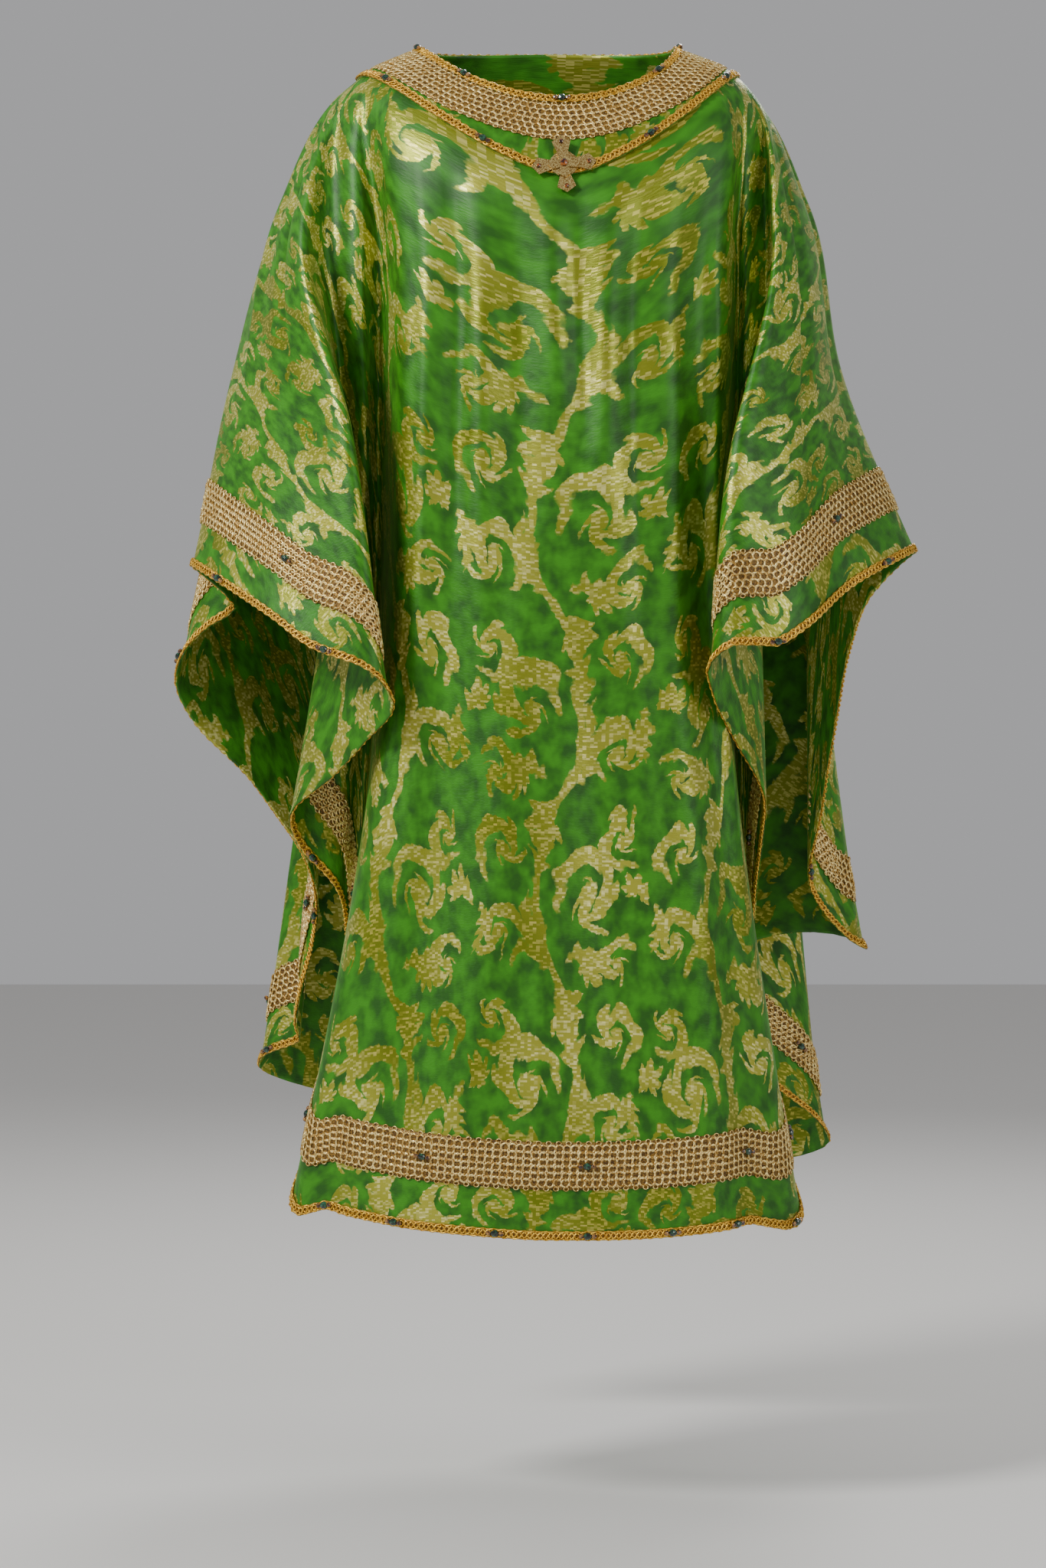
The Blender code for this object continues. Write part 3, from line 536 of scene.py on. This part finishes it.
def damask_cover(tree, place):
    """How far a place on the cut lies inside the woven figure."""
    drift = add(tree, "ShaderNodeTexNoise", {"Vector": place, "Scale": 22.0, "Detail": 1.0})
    drift = add(tree, "ShaderNodeVectorMath", (drift.outputs["Color"], (-0.5, -0.5, -0.5)), operation="ADD")
    ragged = add(tree, "ShaderNodeTexNoise", {"Vector": place, "Scale": 260.0, "Detail": 1.0})
    ragged = add(tree, "ShaderNodeVectorMath", (ragged.outputs["Color"], (-0.5, -0.5, -0.5)), operation="ADD")
    moved = add(tree, "ShaderNodeVectorMath", (drift, (0.03,) * 3, place), operation="MULTIPLY_ADD")
    moved = add(tree, "ShaderNodeVectorMath", (ragged, (0.004,) * 3, moved), operation="MULTIPLY_ADD")
    split = add(tree, "ShaderNodeSeparateXYZ", (moved,))
    along = add(tree, "ShaderNodeMath", (split.outputs["Y"], REPEAT_HEIGHT), operation="FLOORED_MODULO")
    second = add(tree, "ShaderNodeMath", (along, REPEAT_HEIGHT / 2), operation="GREATER_THAN")
    up = add(tree, "ShaderNodeMath", (along, REPEAT_HEIGHT / 2), operation="FLOORED_MODULO")
    shifted = add(tree, "ShaderNodeMath", (split.outputs["X"], REPEAT_WIDTH / 2), operation="ADD")
    side = add(tree, "ShaderNodeMath", (shifted, REPEAT_WIDTH), operation="FLOORED_MODULO")
    side = add(tree, "ShaderNodeMath", (side, REPEAT_WIDTH / 2), operation="SUBTRACT")
    mirror = add(tree, "ShaderNodeMath", (second, -2.0, 1.0), operation="MULTIPLY_ADD")
    side = add(tree, "ShaderNodeMath", (side, mirror), operation="MULTIPLY")
    cell = add(tree, "ShaderNodeCombineXYZ", (side, up))
    groups = {form: motif_group("damask_" + form, draw) for form, draw in FORMS.items()}
    sway = add(tree, "ShaderNodeMath", (up, 2 * pi / REPEAT_HEIGHT), operation="MULTIPLY")
    sway = add(tree, "ShaderNodeMath", (sway,), operation="SINE")
    stem = add(tree, "ShaderNodeMath", (sway, -STEM_SWAY, side), operation="MULTIPLY_ADD")
    stem = add(tree, "ShaderNodeMath", (stem,), operation="ABSOLUTE")
    cover = add(tree, "ShaderNodeMath", (stem, -25.0, 25.0 * STEM_HALF_WIDTH), operation="MULTIPLY_ADD")
    for motif in MOTIFS:
        size = motif.size * MM
        place_in_cell = (motif.x * MM, motif.y * MM, 0.0)
        turn = (0.0, 0.0, radians(motif.turn))
        scale = (size, size * motif.hand, size)
        placed = add(tree, "ShaderNodeMapping", (cell, place_in_cell, turn, scale), vector_type="TEXTURE")
        drawn = add(tree, "ShaderNodeGroup", node_tree=groups[motif.form])
        tree.links.new(placed.outputs[0], drawn.inputs["Place"])
        cover = add(tree, "ShaderNodeMath", (cover, drawn), operation="MAXIMUM")
    return cover


def new_material(name):
    material = bpy.data.materials.new(name)
    material.use_nodes = True
    tree = material.node_tree
    return material, tree, tree.nodes["Principled BSDF"]


def silk_damask():
    # Silk satin with a lurex figure: a soft green sheen, and gold-lime metal threads that glint in lines.
    material, tree, shader = new_material("silk_damask_with_lurex")
    place = add(tree, "ShaderNodeUVMap", uv_map="cut").outputs["UV"]
    cover = damask_cover(tree, place)
    figure = add(tree, "ShaderNodeMapRange", (cover, -0.01, 0.035, 0.0, 1.0))
    zone = add(tree, "ShaderNodeTexNoise", {"Vector": place, "Scale": 7.0, "Detail": 1.0})
    zone = add(tree, "ShaderNodeMapRange", (zone, 0.36, 0.64, 0.0, 1.0))
    # A weft of 2.2 mm a pair, drawn coarse enough to show.
    weft = add(tree, "ShaderNodeMapping", (place, (0.0,) * 3, (0.0,) * 3, (260.0, 620.0, 1.0)))
    stitch = add(tree, "ShaderNodeVectorMath", (weft,), operation="FLOOR")
    glint = add(tree, "ShaderNodeTexWhiteNoise", (stitch,))
    lit = add(tree, "ShaderNodeMapRange", (glint.outputs["Value"], 0.55, 1.0, 0.0, 1.0))
    colors = {0: zone, 6: linear("#6f7a14"), 7: linear("#a9a83c")}
    dull_gold = add(tree, "ShaderNodeMix", colors, data_type="RGBA")
    colors = {0: zone, 6: linear("#b9b04a"), 7: linear("#efe894")}
    bright_gold = add(tree, "ShaderNodeMix", colors, data_type="RGBA")
    colors = {0: lit, 6: dull_gold.outputs[2], 7: bright_gold.outputs[2]}
    gold = add(tree, "ShaderNodeMix", colors, data_type="RGBA")
    tone = add(tree, "ShaderNodeTexNoise", {"Vector": place, "Scale": 55.0, "Detail": 2.0})
    tone = add(tree, "ShaderNodeMapRange", (tone, 0.35, 0.65, 0.0, 1.0))
    colors = {0: tone, 6: linear("#1b5200"), 7: linear("#348206")}
    green = add(tree, "ShaderNodeMix", colors, data_type="RGBA")
    colors = {0: figure, 6: green.outputs[2], 7: gold.outputs[2]}
    woven = add(tree, "ShaderNodeMix", colors, data_type="RGBA")
    tree.links.new(woven.outputs[2], shader.inputs["Base Color"])
    metal = add(tree, "ShaderNodeMath", (figure, 0.55), operation="MULTIPLY")
    tree.links.new(metal.outputs[0], shader.inputs["Metallic"])
    rough = add(tree, "ShaderNodeMapRange", (figure, 0.0, 1.0, 0.5, 0.4))
    tree.links.new(rough.outputs[0], shader.inputs["Roughness"])
    shader.inputs["Sheen Weight"].default_value = 0.35
    shader.inputs["Sheen Roughness"].default_value = 0.35
    shader.inputs["Sheen Tint"].default_value = linear("#b8e07a")
    shader.inputs["Specular IOR Level"].default_value = 0.35
    slub = add(tree, "ShaderNodeMapping", (place, (0.0,) * 3, (0.0,) * 3, (220.0, 620.0, 1.0)))
    threads = add(tree, "ShaderNodeTexNoise", {"Vector": slub, "Scale": 1.0, "Detail": 2.0})
    height = threads.outputs["Fac"]
    bump = add(tree, "ShaderNodeBump", {"Strength": 0.5, "Distance": 0.6 * MM, "Height": height})
    tree.links.new(bump.outputs[0], shader.inputs["Normal"])
    return material


def metal_thread(name, dark, light, metallic, roughness, grain):
    """Wound metal thread: each thread catches the light along a narrow line, with darker gold between."""
    material, tree, shader = new_material(name)
    place = add(tree, "ShaderNodeTexCoord").outputs["Object"]
    wound = add(tree, "ShaderNodeTexNoise", {"Vector": place, "Scale": grain, "Detail": 2.0})
    share = add(tree, "ShaderNodeMapRange", (wound, 0.38, 0.62, 0.0, 1.0))
    colors = {0: share, 6: linear(dark), 7: linear(light)}
    color = add(tree, "ShaderNodeMix", colors, data_type="RGBA")
    tree.links.new(color.outputs[2], shader.inputs["Base Color"])
    shader.inputs["Metallic"].default_value = metallic
    shader.inputs["Roughness"].default_value = roughness
    bump = add(tree, "ShaderNodeBump", {"Strength": 0.3, "Distance": 0.0003, "Height": wound.outputs["Fac"]})
    tree.links.new(bump.outputs[0], shader.inputs["Normal"])
    return material


def gem(name, core, edge, roughness, transmission):
    """Cut or polished glass: dark, with brighter flecks inside it."""
    material, tree, shader = new_material(name)
    place = add(tree, "ShaderNodeTexCoord").outputs["Object"]
    flecks = add(tree, "ShaderNodeTexNoise", {"Vector": place, "Scale": 350.0, "Detail": 1.0})
    share = add(tree, "ShaderNodeMapRange", (flecks, 0.42, 0.7, 0.0, 1.0))
    colors = {0: share, 6: linear(core), 7: linear(edge)}
    color = add(tree, "ShaderNodeMix", colors, data_type="RGBA")
    tree.links.new(color.outputs[2], shader.inputs["Base Color"])
    shader.inputs["Roughness"].default_value = roughness
    shader.inputs["Transmission Weight"].default_value = transmission
    shader.inputs["Coat Weight"].default_value = 0.6
    return material


def add_piece(name, vertices, faces, material, node=None, smooth=True, uv=None):
    """A mesh piece that rides on the garment, and stands for its node where it has one."""
    mesh = bpy.data.meshes.new(name)
    mesh.from_pydata([tuple(v) for v in vertices], [], faces)
    mesh.materials.append(material)
    if smooth:
        mesh.shade_smooth()
    if uv is not None:
        layer = mesh.uv_layers.new(name="cut")
        layer.uv.foreach_set("vector", uv.astype(np.float32).reshape(-1))
    piece = bpy.data.objects.new(name, mesh)
    bpy.context.scene.collection.objects.link(piece)
    finish_piece(piece, node)
    return piece


def finish_piece(piece, node):
    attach(piece, "root")
    if node:
        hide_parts(node)


def wall_faces(columns, rows, closed, wrapped):
    """The faces of a closed thin wall: outer face, inner face and rims.

    Unless it is wrapped, a ring's joining column has numbers of its own, as it has in the flat cut."""
    lower = (columns if wrapped or not closed else columns + 1) * rows
    column = np.arange(columns if closed else columns - 1)
    beside = (column + 1) % columns if wrapped else column + 1
    first, second, end = column * rows, beside * rows, rows - 1
    a = first[:, None] + np.arange(end)[None, :]
    b = second[:, None] + np.arange(end)[None, :]
    faces = [np.stack([a, b, b + 1, a + 1], axis=2).reshape(-1, 4)]
    faces.append(np.stack([a, a + 1, b + 1, b], axis=2).reshape(-1, 4) + lower)
    faces.append(np.stack([second, first, first + lower, second + lower], axis=1))
    faces.append(np.stack([first + end, second + end, second + end + lower, first + end + lower], axis=1))
    if not closed:
        row = np.arange(end)
        last = (columns - 1) * rows
        above, far = row + lower, last + row
        faces.append(np.stack([row, row + 1, above + 1, above], axis=1))
        faces.append(np.stack([far + 1, far, far + lower, far + lower + 1], axis=1))
    return np.concatenate(faces)


def add_wall(name, under, over, closed, material, node, flat=None):
    """A closed thin wall between two grids of points, columns by rows, with its places in the flat cut."""
    columns, rows = under.shape[:2]
    vertices = np.concatenate([over.reshape(-1, 3), under.reshape(-1, 3)])
    uv = None
    if flat is not None:
        uv = np.concatenate([flat.reshape(-1, 2)] * 2)[wall_faces(columns, rows, closed, False).reshape(-1)]
    faces = wall_faces(columns, rows, closed, True).tolist()
    return add_piece(name, vertices, faces, material, node, uv=uv)


def new_tree(name, inputs):
    """A geometry tree with a mesh in and out, and named inputs for its sizes and its material."""
    tree = bpy.data.node_groups.new(name, "GeometryNodeTree")
    tree.interface.new_socket("Geometry", in_out="INPUT", socket_type="NodeSocketGeometry")
    for label, kind in inputs:
        tree.interface.new_socket(label, in_out="INPUT", socket_type="NodeSocket" + kind)
    tree.interface.new_socket("Geometry", in_out="OUTPUT", socket_type="NodeSocketGeometry")
    return tree, tree.nodes.new("NodeGroupInput"), tree.nodes.new("NodeGroupOutput")


def end_tree(tree, made, given, out):
    """The last nodes of each tree: real geometry, with its material."""
    real = add(tree, "GeometryNodeRealizeInstances", (made,))
    finished = add(tree, "GeometryNodeSetMaterial", {"Geometry": real, "Material": given.outputs["Material"]})
    tree.links.new(finished.outputs[0], out.inputs[0])
    return tree


def thread_tree():
    """Threads: each path becomes a round thread."""
    sizes = (("Thickness", "Float"), ("Sides", "Int"), ("Material", "Material"))
    tree, given, out = new_tree("threads", sizes)
    path = add(tree, "GeometryNodeMeshToCurve", (given.outputs["Geometry"],))
    half = add(tree, "ShaderNodeMath", (given.outputs["Thickness"], 0.5), operation="MULTIPLY")
    round_profile = add(tree, "GeometryNodeCurvePrimitiveCircle")
    tree.links.new(given.outputs["Sides"], round_profile.inputs["Resolution"])
    tree.links.new(half.outputs[0], round_profile.inputs["Radius"])
    parts = {"Curve": path, "Profile Curve": round_profile, "Fill Caps": True}
    tube = add(tree, "GeometryNodeCurveToMesh", parts)
    return end_tree(tree, tube, given, out)


def placed_tree(name, make_one):
    """Copies of one small form at each point, turned by the point's own along and out directions."""
    tree, given, out = new_tree(name, (("Size", "Float"), ("Thickness", "Float"), ("Material", "Material")))
    one = make_one(tree, given)
    along = add(tree, "GeometryNodeInputNamedAttribute", ("along",), data_type="FLOAT_VECTOR")
    outward = add(tree, "GeometryNodeInputNamedAttribute", ("out",), data_type="FLOAT_VECTOR")
    stretch = add(tree, "GeometryNodeInputNamedAttribute", ("stretch",), data_type="FLOAT_VECTOR")
    turn = add(tree, "FunctionNodeAxesToRotation", (outward, along), primary_axis="Z", secondary_axis="X")
    copies = add(
        tree,
        "GeometryNodeInstanceOnPoints",
        {"Points": given.outputs["Geometry"], "Instance": one, "Rotation": turn, "Scale": stretch},
    )
    return end_tree(tree, copies, given, out)


def one_ring(tree, given):
    """A loop of thread: a small round ring."""
    half = add(tree, "ShaderNodeMath", (given.outputs["Size"], 0.5), operation="MULTIPLY")
    thin = add(tree, "ShaderNodeMath", (given.outputs["Thickness"], 0.5), operation="MULTIPLY")
    path = add(tree, "GeometryNodeCurvePrimitiveCircle", {"Resolution": 8})
    tree.links.new(half.outputs[0], path.inputs["Radius"])
    profile = add(tree, "GeometryNodeCurvePrimitiveCircle", {"Resolution": 4})
    tree.links.new(thin.outputs[0], profile.inputs["Radius"])
    return add(tree, "GeometryNodeCurveToMesh", {"Curve": path, "Profile Curve": profile})


def one_bead(tree, given):
    """A cut bead."""
    half = add(tree, "ShaderNodeMath", (given.outputs["Size"], 0.5), operation="MULTIPLY")
    return add(tree, "GeometryNodeMeshIcoSphere", {"Radius": half, "Subdivisions": 2})


def grown(name, points, edges, vectors, tree, settings, node, smooth=True):
    """The plain mesh that a geometry tree makes from points and edges."""
    source = bpy.data.meshes.new(name)
    source.from_pydata([tuple(p) for p in points], edges, [])
    for label, values in vectors.items():
        layer = source.attributes.new(label, "FLOAT_VECTOR", "POINT")
        layer.data.foreach_set("vector", np.asarray(values, np.float32).reshape(-1))
    maker = bpy.data.objects.new(name + "_maker", source)
    bpy.context.scene.collection.objects.link(maker)
    modifier = maker.modifiers.new("made", "NODES")
    modifier.node_group = tree
    for item in tree.interface.items_tree:
        if item.in_out == "INPUT" and item.name in settings:
            modifier[item.identifier] = settings[item.name]
    made = maker.evaluated_get(bpy.context.evaluated_depsgraph_get())
    mesh = bpy.data.meshes.new_from_object(made)
    bpy.data.objects.remove(maker)
    mesh.name = name
    if smooth:
        mesh.shade_smooth()
    piece = bpy.data.objects.new(name, mesh)
    bpy.context.scene.collection.objects.link(piece)
    finish_piece(piece, node)
    return piece


def band_between(grid, first_row, last_row):
    """The rows of a ring from one row of the model to another."""
    return grid[:, ROW_AT[first_row] : ROW_AT[last_row] + 1]


def across_band(block, share):
    """The path along a band of columns at a share of its width."""
    place = share * (block.shape[1] - 1)
    row = min(int(place), block.shape[1] - 2)
    return block[:, row] + (block[:, row + 1] - block[:, row]) * (place - row)


def along_path(path, where):
    """Points of a path at these distances from its start."""
    length = np.concatenate([[0.0], np.cumsum(np.linalg.norm(np.diff(path, axis=0), axis=1))])
    return np.stack([np.interp(where, length, path[:, axis]) for axis in range(3)], axis=1)


def path_length(path):
    return np.linalg.norm(np.diff(path, axis=0), axis=1).sum()


class Band:
    """A trim's surface: a block of columns, its normals, and whether it joins up into a ring."""

    def __init__(self, grid, normal, closed):
        if closed:
            grid, normal = (np.concatenate([part, part[:1]]) for part in (grid, normal))
        self.grid, self.normal, self.closed = grid, normal, closed

    def row(self, share, height, pitch, shift=0.0):
        """Points along the band at one share of its width, with their along and out directions."""
        path, out = across_band(self.grid, share), across_band(self.normal, share)
        length = path_length(path)
        count = max(2, round(length / pitch))
        where = (np.arange(count + (0 if self.closed else 1)) / count) * length
        if self.closed or shift == 0.0:
            where = (where + shift * length / count) % (length * 1.0000001)
        else:
            where = where[:-1] + shift * length / count
        near = 0.3 * MM
        ahead = along_path(path, np.clip(where + near, 0, length))
        ahead -= along_path(path, np.clip(where - near, 0, length))
        whole = np.concatenate([[0.0], np.cumsum(np.linalg.norm(np.diff(path, axis=0), axis=1))])
        outward = np.stack([np.interp(where, whole, out[:, axis]) for axis in range(3)], axis=1)
        outward /= np.linalg.norm(outward, axis=1, keepdims=True)
        ahead /= np.linalg.norm(ahead, axis=1, keepdims=True)
        points = along_path(path, where) + outward * height
        return points, ahead, outward


def crochet(name, band, tree, material, node):
    """Rows of loops over the galloon, each half a loop on from the last, and small ones at its edges."""
    places, along, out, stretch = [], [], [], []
    for row in range(LOOP_ROWS):
        share = (row + 0.5) / LOOP_ROWS * (1 - 2 * LOOP_MARGIN) + LOOP_MARGIN
        found = band.row(share, LOOP_HEIGHT, LOOP_PITCH, 0.5 * (row % 2))
        for kept, new in zip((places, along, out), found):
            kept.append(new)
        stretch.append(np.tile((1.0, 1.0, 1.0), (len(found[0]), 1)))
    for share in (0.02, 0.98):
        found = band.row(share, LOOP_HEIGHT * 0.7, SCALLOP_PITCH)
        for kept, new in zip((places, along, out), found):
            kept.append(new)
        stretch.append(np.tile((SCALLOP_SIZE, SCALLOP_SIZE * 0.8, 0.9), (len(found[0]), 1)))
    joined = [np.concatenate(part) for part in (places, along, out, stretch)]
    vectors = {"along": joined[1], "out": joined[2], "stretch": joined[3]}
    settings = {"Size": LOOP_SIZE, "Thickness": LOOP_THREAD, "Material": material}
    return grown(name, joined[0], [], vectors, tree, settings, node)


def threads(name, paths, thickness, sides, tree, material, node, slot):
    """Several paths, closed or open, as round threads."""
    points, edges = [], []
    for path, closed in paths:
        start = len(points)
        points += list(path)
        edges += [(start + i, start + i + 1) for i in range(len(path) - 1)]
        if closed:
            edges.append((start + len(path) - 1, start))
    settings = {"Thickness": thickness, "Sides": sides, "Material": material}
    return grown(name, points, edges, {}, tree, settings, node)


def zigzag(band, middle, sway, hand, height):
    """A cord that sways from side to side along a band, lifted where it passes over its pair."""
    steps = 10
    points, ahead, out = band.row(middle, height, BRAID_PERIOD / steps)
    side = np.cross(out, ahead)
    turn = np.arange(len(points)) * 2 * pi / steps
    aside, lift = hand * sway * np.sin(turn), hand * BRAID_OVER * np.cos(turn)
    return points + side * aside[:, None] + out * lift[:, None]


def gimp(name, band, height, tree, material, node):
    """A narrow braid: a pair of crossed cords between two edge cords."""
    paths = [(zigzag(band, 0.5, BRAID_SWAY, hand, height), band.closed) for hand in (1, -1)]
    for share, hand in ((0.1, 1), (0.9, -1)):
        paths.append((zigzag(band, share, EDGE_CORD_SWAY, hand, height * 0.85), band.closed))
    return threads(name, paths, BRAID_CORD, 5, tree, material, node, "braid")


damask = silk_damask()
galloon_thread = metal_thread("galloon_gold_thread", "#b08438", "#ffe9a0", 0.6, 0.36, 420.0)
# The galloon's ground is its woven base in a darker copy of its gold thread: the darkness is painted shade
# for the gaps between the loops.
galloon_ground_with_painted_shade = metal_thread("galloon_ground_painted_shade", "#4a300e", "#94702a", 0.4, 0.55, 600.0)
gimp_thread = metal_thread("yellow_gold_gimp", "#a87410", "#f0c448", 0.5, 0.38, 500.0)
# The gimp's ground is its woven base in a darker copy of its gold thread: the darkness is painted shade
# between the cords.
gimp_ground_with_painted_shade = metal_thread("gimp_ground_with_painted_shade", "#6b4708", "#a87a18", 0.3, 0.55, 600.0)
filigree = metal_thread("gilt_filigree", "#9a7030", "#f0d890", 0.9, 0.26, 900.0)
amber = gem("amber_glass", "#2a0a04", "#c06a20", 0.08, 0.25)
green_glass = gem("dark_green_glass", "#02120a", "#2a6a4a", 0.1, 0.2)
brown_glass = gem("brown_gold_glass", "#3a1a08", "#c08a40", 0.16, 0.1)

grid, turn, (left_seam, right_seam) = fine_cloth()
cloth = creased(grid, turn)
normal = outward_normals(cloth)


def between(block, first, last):
    """The columns from first to last inclusive of a ring."""
    span = (last - first) % len(block)
    return block[[(first + i) % len(block) for i in range(span + 1)]]


HALVES = (("front", left_seam, right_seam, 0.0), ("back", right_seam, left_seam, 180.0))


def wall(name, first_row, last_row, bottom, thickness, ends, material, node, middle_turn=None):
    """A wall that lies on the cloth between two rows, over part of the ring or all of it."""
    base, out = (band_between(part, first_row, last_row) for part in (cloth, normal))
    if ends:
        base, out = between(base, *ends), between(out, *ends)
    flat = None
    if middle_turn is not None:
        turns = between(turn, *ends) if ends else turn
        middle = int(np.argmin(abs((turns - middle_turn + 180) % 360 - 180)))
        whole = base if ends else np.concatenate([base, base[:1]])
        flat = flat_places(whole, middle)
    under, over = base + out * bottom, base + out * (bottom + thickness)
    return add_wall(name, under, over, not ends, material, node, flat)


sheets = {}
for half, first, last, middle in HALVES:
    name, node = half + "_cloth", half + "_panel"
    sheets[half] = wall(name, ROW_NECK, ROW_HEM, -CLOTH, CLOTH, (first, last), damask, node, middle)
yoke = wall("yoke_cloth", ROW_NECK, ROW_YOKE_EDGE, GAP, YOKE_CLOTH, None, damask, "yoke", 0.0)

loops, cords = placed_tree("thread_loops", one_ring), thread_tree()
beads_tree = placed_tree("cut_beads", one_bead)


def band_on(first_row, last_row, ends=None, narrow=1.0, height=0.0):
    """The surface of a trim: part of the cloth, its last row drawn in to a share of the width."""
    base, out = (band_between(part, first_row, last_row) for part in (cloth, normal))
    if ends:
        base, out = between(base, *ends), between(out, *ends)
    if narrow < 1.0:
        shares = np.linspace(0.0, narrow, base.shape[1])
        base, out = (np.stack([across_band(part, share) for share in shares], axis=1) for part in (base, out))
    return Band(base + out * height, out, ends is None)


def ground(name, band, thickness, material, node):
    last = -1 if band.closed else None
    base, out = band.grid[:last], band.normal[:last]
    return add_wall(name, base, base + out * thickness, band.closed, material, node)


trims = {"front": [], "back": [], "yoke": []}

band = band_on(ROW_GALLOON_IN, ROW_GALLOON_OUT, height=ON_YOKE)
node = "yoke_galloon"
trims["yoke"].append(ground(node + "_ground", band, GALLOON_GROUND, galloon_ground_with_painted_shade, node))
trims["yoke"].append(crochet(node + "_loops", band, loops, galloon_thread, node))
for name, rows, narrow in (
    ("neck_braid", (ROW_NECK, ROW_GALLOON_IN), BRAID_WIDTH / NECK_TO_GALLOON),
    ("yoke_braid", (ROW_YOKE_BRAID, ROW_YOKE_EDGE), 1.0),
):
    band = band_on(*rows, narrow=narrow, height=ON_YOKE)
    trims["yoke"].append(ground(name + "_ground", band, BRAID_GROUND, gimp_ground_with_painted_shade, name))
    trims["yoke"].append(gimp(name + "_cords", band, BRAID_LIFT, cords, gimp_thread, name))
for half, first, last, _ in HALVES:
    band = band_on(ROW_HEM_GALLOON, ROW_HEM_GALLOON_END, (first, last), height=GAP)
    node = "hem_galloon_" + half
    trims[half].append(ground(node + "_ground", band, GALLOON_GROUND, galloon_ground_with_painted_shade, node))
    trims[half].append(crochet(node + "_loops", band, loops, galloon_thread, node))
    band = band_on(ROW_HEM_BRAID, ROW_HEM, (first, last), height=GAP)
    node = "hem_braid_" + half
    trims[half].append(ground(node + "_ground", band, BRAID_GROUND, gimp_ground_with_painted_shade, node))
    trims[half].append(gimp(node + "_cords", band, BRAID_LIFT, cords, gimp_thread, node))


def bead_places(band, turns_there, wanted, height):
    """Where one cluster sits for each wanted turn: its place, and its along and out directions."""
    path, out = across_band(band.grid, 0.5), across_band(band.normal, 0.5)
    along = np.gradient(path, axis=0)
    found = []
    for at in wanted:
        near = int(np.argmin(abs((turns_there - at + 180) % 360 - 180)))
        ahead = along[near] / np.linalg.norm(along[near])
        found.append((path[near] + out[near] * height, ahead, out[near]))
    return found


clusters = bead_places(band_on(ROW_NECK, ROW_GALLOON_IN, height=ON_YOKE), turn, NECK_BEADS, BEAD_LIFT)
clusters += bead_places(band_on(ROW_YOKE_BRAID, ROW_YOKE_EDGE, height=ON_YOKE), turn, YOKE_BEADS, BEAD_LIFT)
hem_galloon = band_on(ROW_HEM_GALLOON, ROW_HEM_GALLOON_END, height=GAP)
clusters += bead_places(hem_galloon, turn, GALLOON_BEADS, BEAD_LIFT)
clusters += bead_places(band_on(ROW_HEM_BRAID, ROW_HEM, height=GAP), turn, HEM_BEADS, BEAD_LIFT)
for name, offsets, size, material in (
    ("green_beads", (0.0,), GREEN_BEAD, green_glass),
    ("brown_beads", (-1.0, 1.0), BROWN_BEAD, brown_glass),
):
    places = [place + ahead * (offset * BEAD_APART) for place, ahead, _ in clusters for offset in offsets]
    ways = {
        "along": [ahead for _, ahead, _ in clusters for _ in offsets],
        "out": [out for _, _, out in clusters for _ in offsets],
        "stretch": [(1.15, 1.0, 0.9)] * len(places),
    }
    settings = {"Size": size, "Thickness": size, "Material": material}
    grown(name, places, [], ways, beads_tree, settings, None, smooth=False)

for name in ("cross_plate", "cross_rosette"):
    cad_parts[name].material_slots[0].material = filigree
for name in ("centre", "top", "bottom", "left", "right"):
    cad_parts["stone_" + name].material_slots[0].material = amber

# The flat sizes of the three cut pieces, from the cloth's own lengths.
def flat_size(piece):
    layer = piece.data.uv_layers["cut"].uv
    uv = np.empty(len(layer) * 2, np.float32)
    layer.foreach_get("vector", uv)
    uv = uv.reshape(-1, 2)
    width, length = uv.max(axis=0) - uv.min(axis=0)
    return float(width), float(length)


for half, piece in sheets.items():
    width, length = flat_size(piece)

yoke_width, yoke_length = flat_size(yoke)

floor_mesh = bpy.data.meshes.new("floor")
floor_mesh.from_pydata([(-9, -9, FLOOR), (9, -9, FLOOR), (9, 9, FLOOR), (-9, 9, FLOOR)], [], [(0, 1, 2, 3)])
floor_material, _, floor_shader = new_material("pale_studio_floor")
floor_shader.inputs["Base Color"].default_value = linear("#dcdad6")
floor_shader.inputs["Roughness"].default_value = 0.7
floor_mesh.materials.append(floor_material)
floor = bpy.data.objects.new("floor", floor_mesh)
bpy.context.scene.collection.objects.link(floor)

world = bpy.data.worlds.new("studio")
world.use_nodes = True
world.node_tree.nodes["Background"].inputs["Color"].default_value = linear("#e6e6e8")
world.node_tree.nodes["Background"].inputs["Strength"].default_value = 0.5
bpy.context.scene.world = world


def soft_light(name, place, target, size, power):
    light = bpy.data.lights.new(name, "AREA")
    light.shape = "DISK"
    light.size = size
    light.energy = power
    lamp = bpy.data.objects.new(name, light)
    lamp.location = place
    lamp.rotation_euler = (Vector(target) - Vector(place)).to_track_quat("-Z", "Y").to_euler()
    bpy.context.scene.collection.objects.link(lamp)


soft_light("key_light", (-2.3, -1.9, 1.5), (0, 0, -0.6), 0.9, 120)
soft_light("fill_light", (2.4, -2.0, 0.4), (0, 0, -0.6), 1.6, 30)
soft_light("back_light", (0.6, 2.4, 1.2), (0, 0, -0.5), 1.2, 40)

camera_data = bpy.data.cameras.new("camera")
camera_data.sensor_width = 36.0
camera_data.lens = 79.1
camera = bpy.data.objects.new("camera", camera_data)
camera.location = (-0.025, -3.6, -0.767)
camera.rotation_euler = (radians(90), 0.0, 0.0)
bpy.context.scene.collection.objects.link(camera)
bpy.context.scene.camera = camera
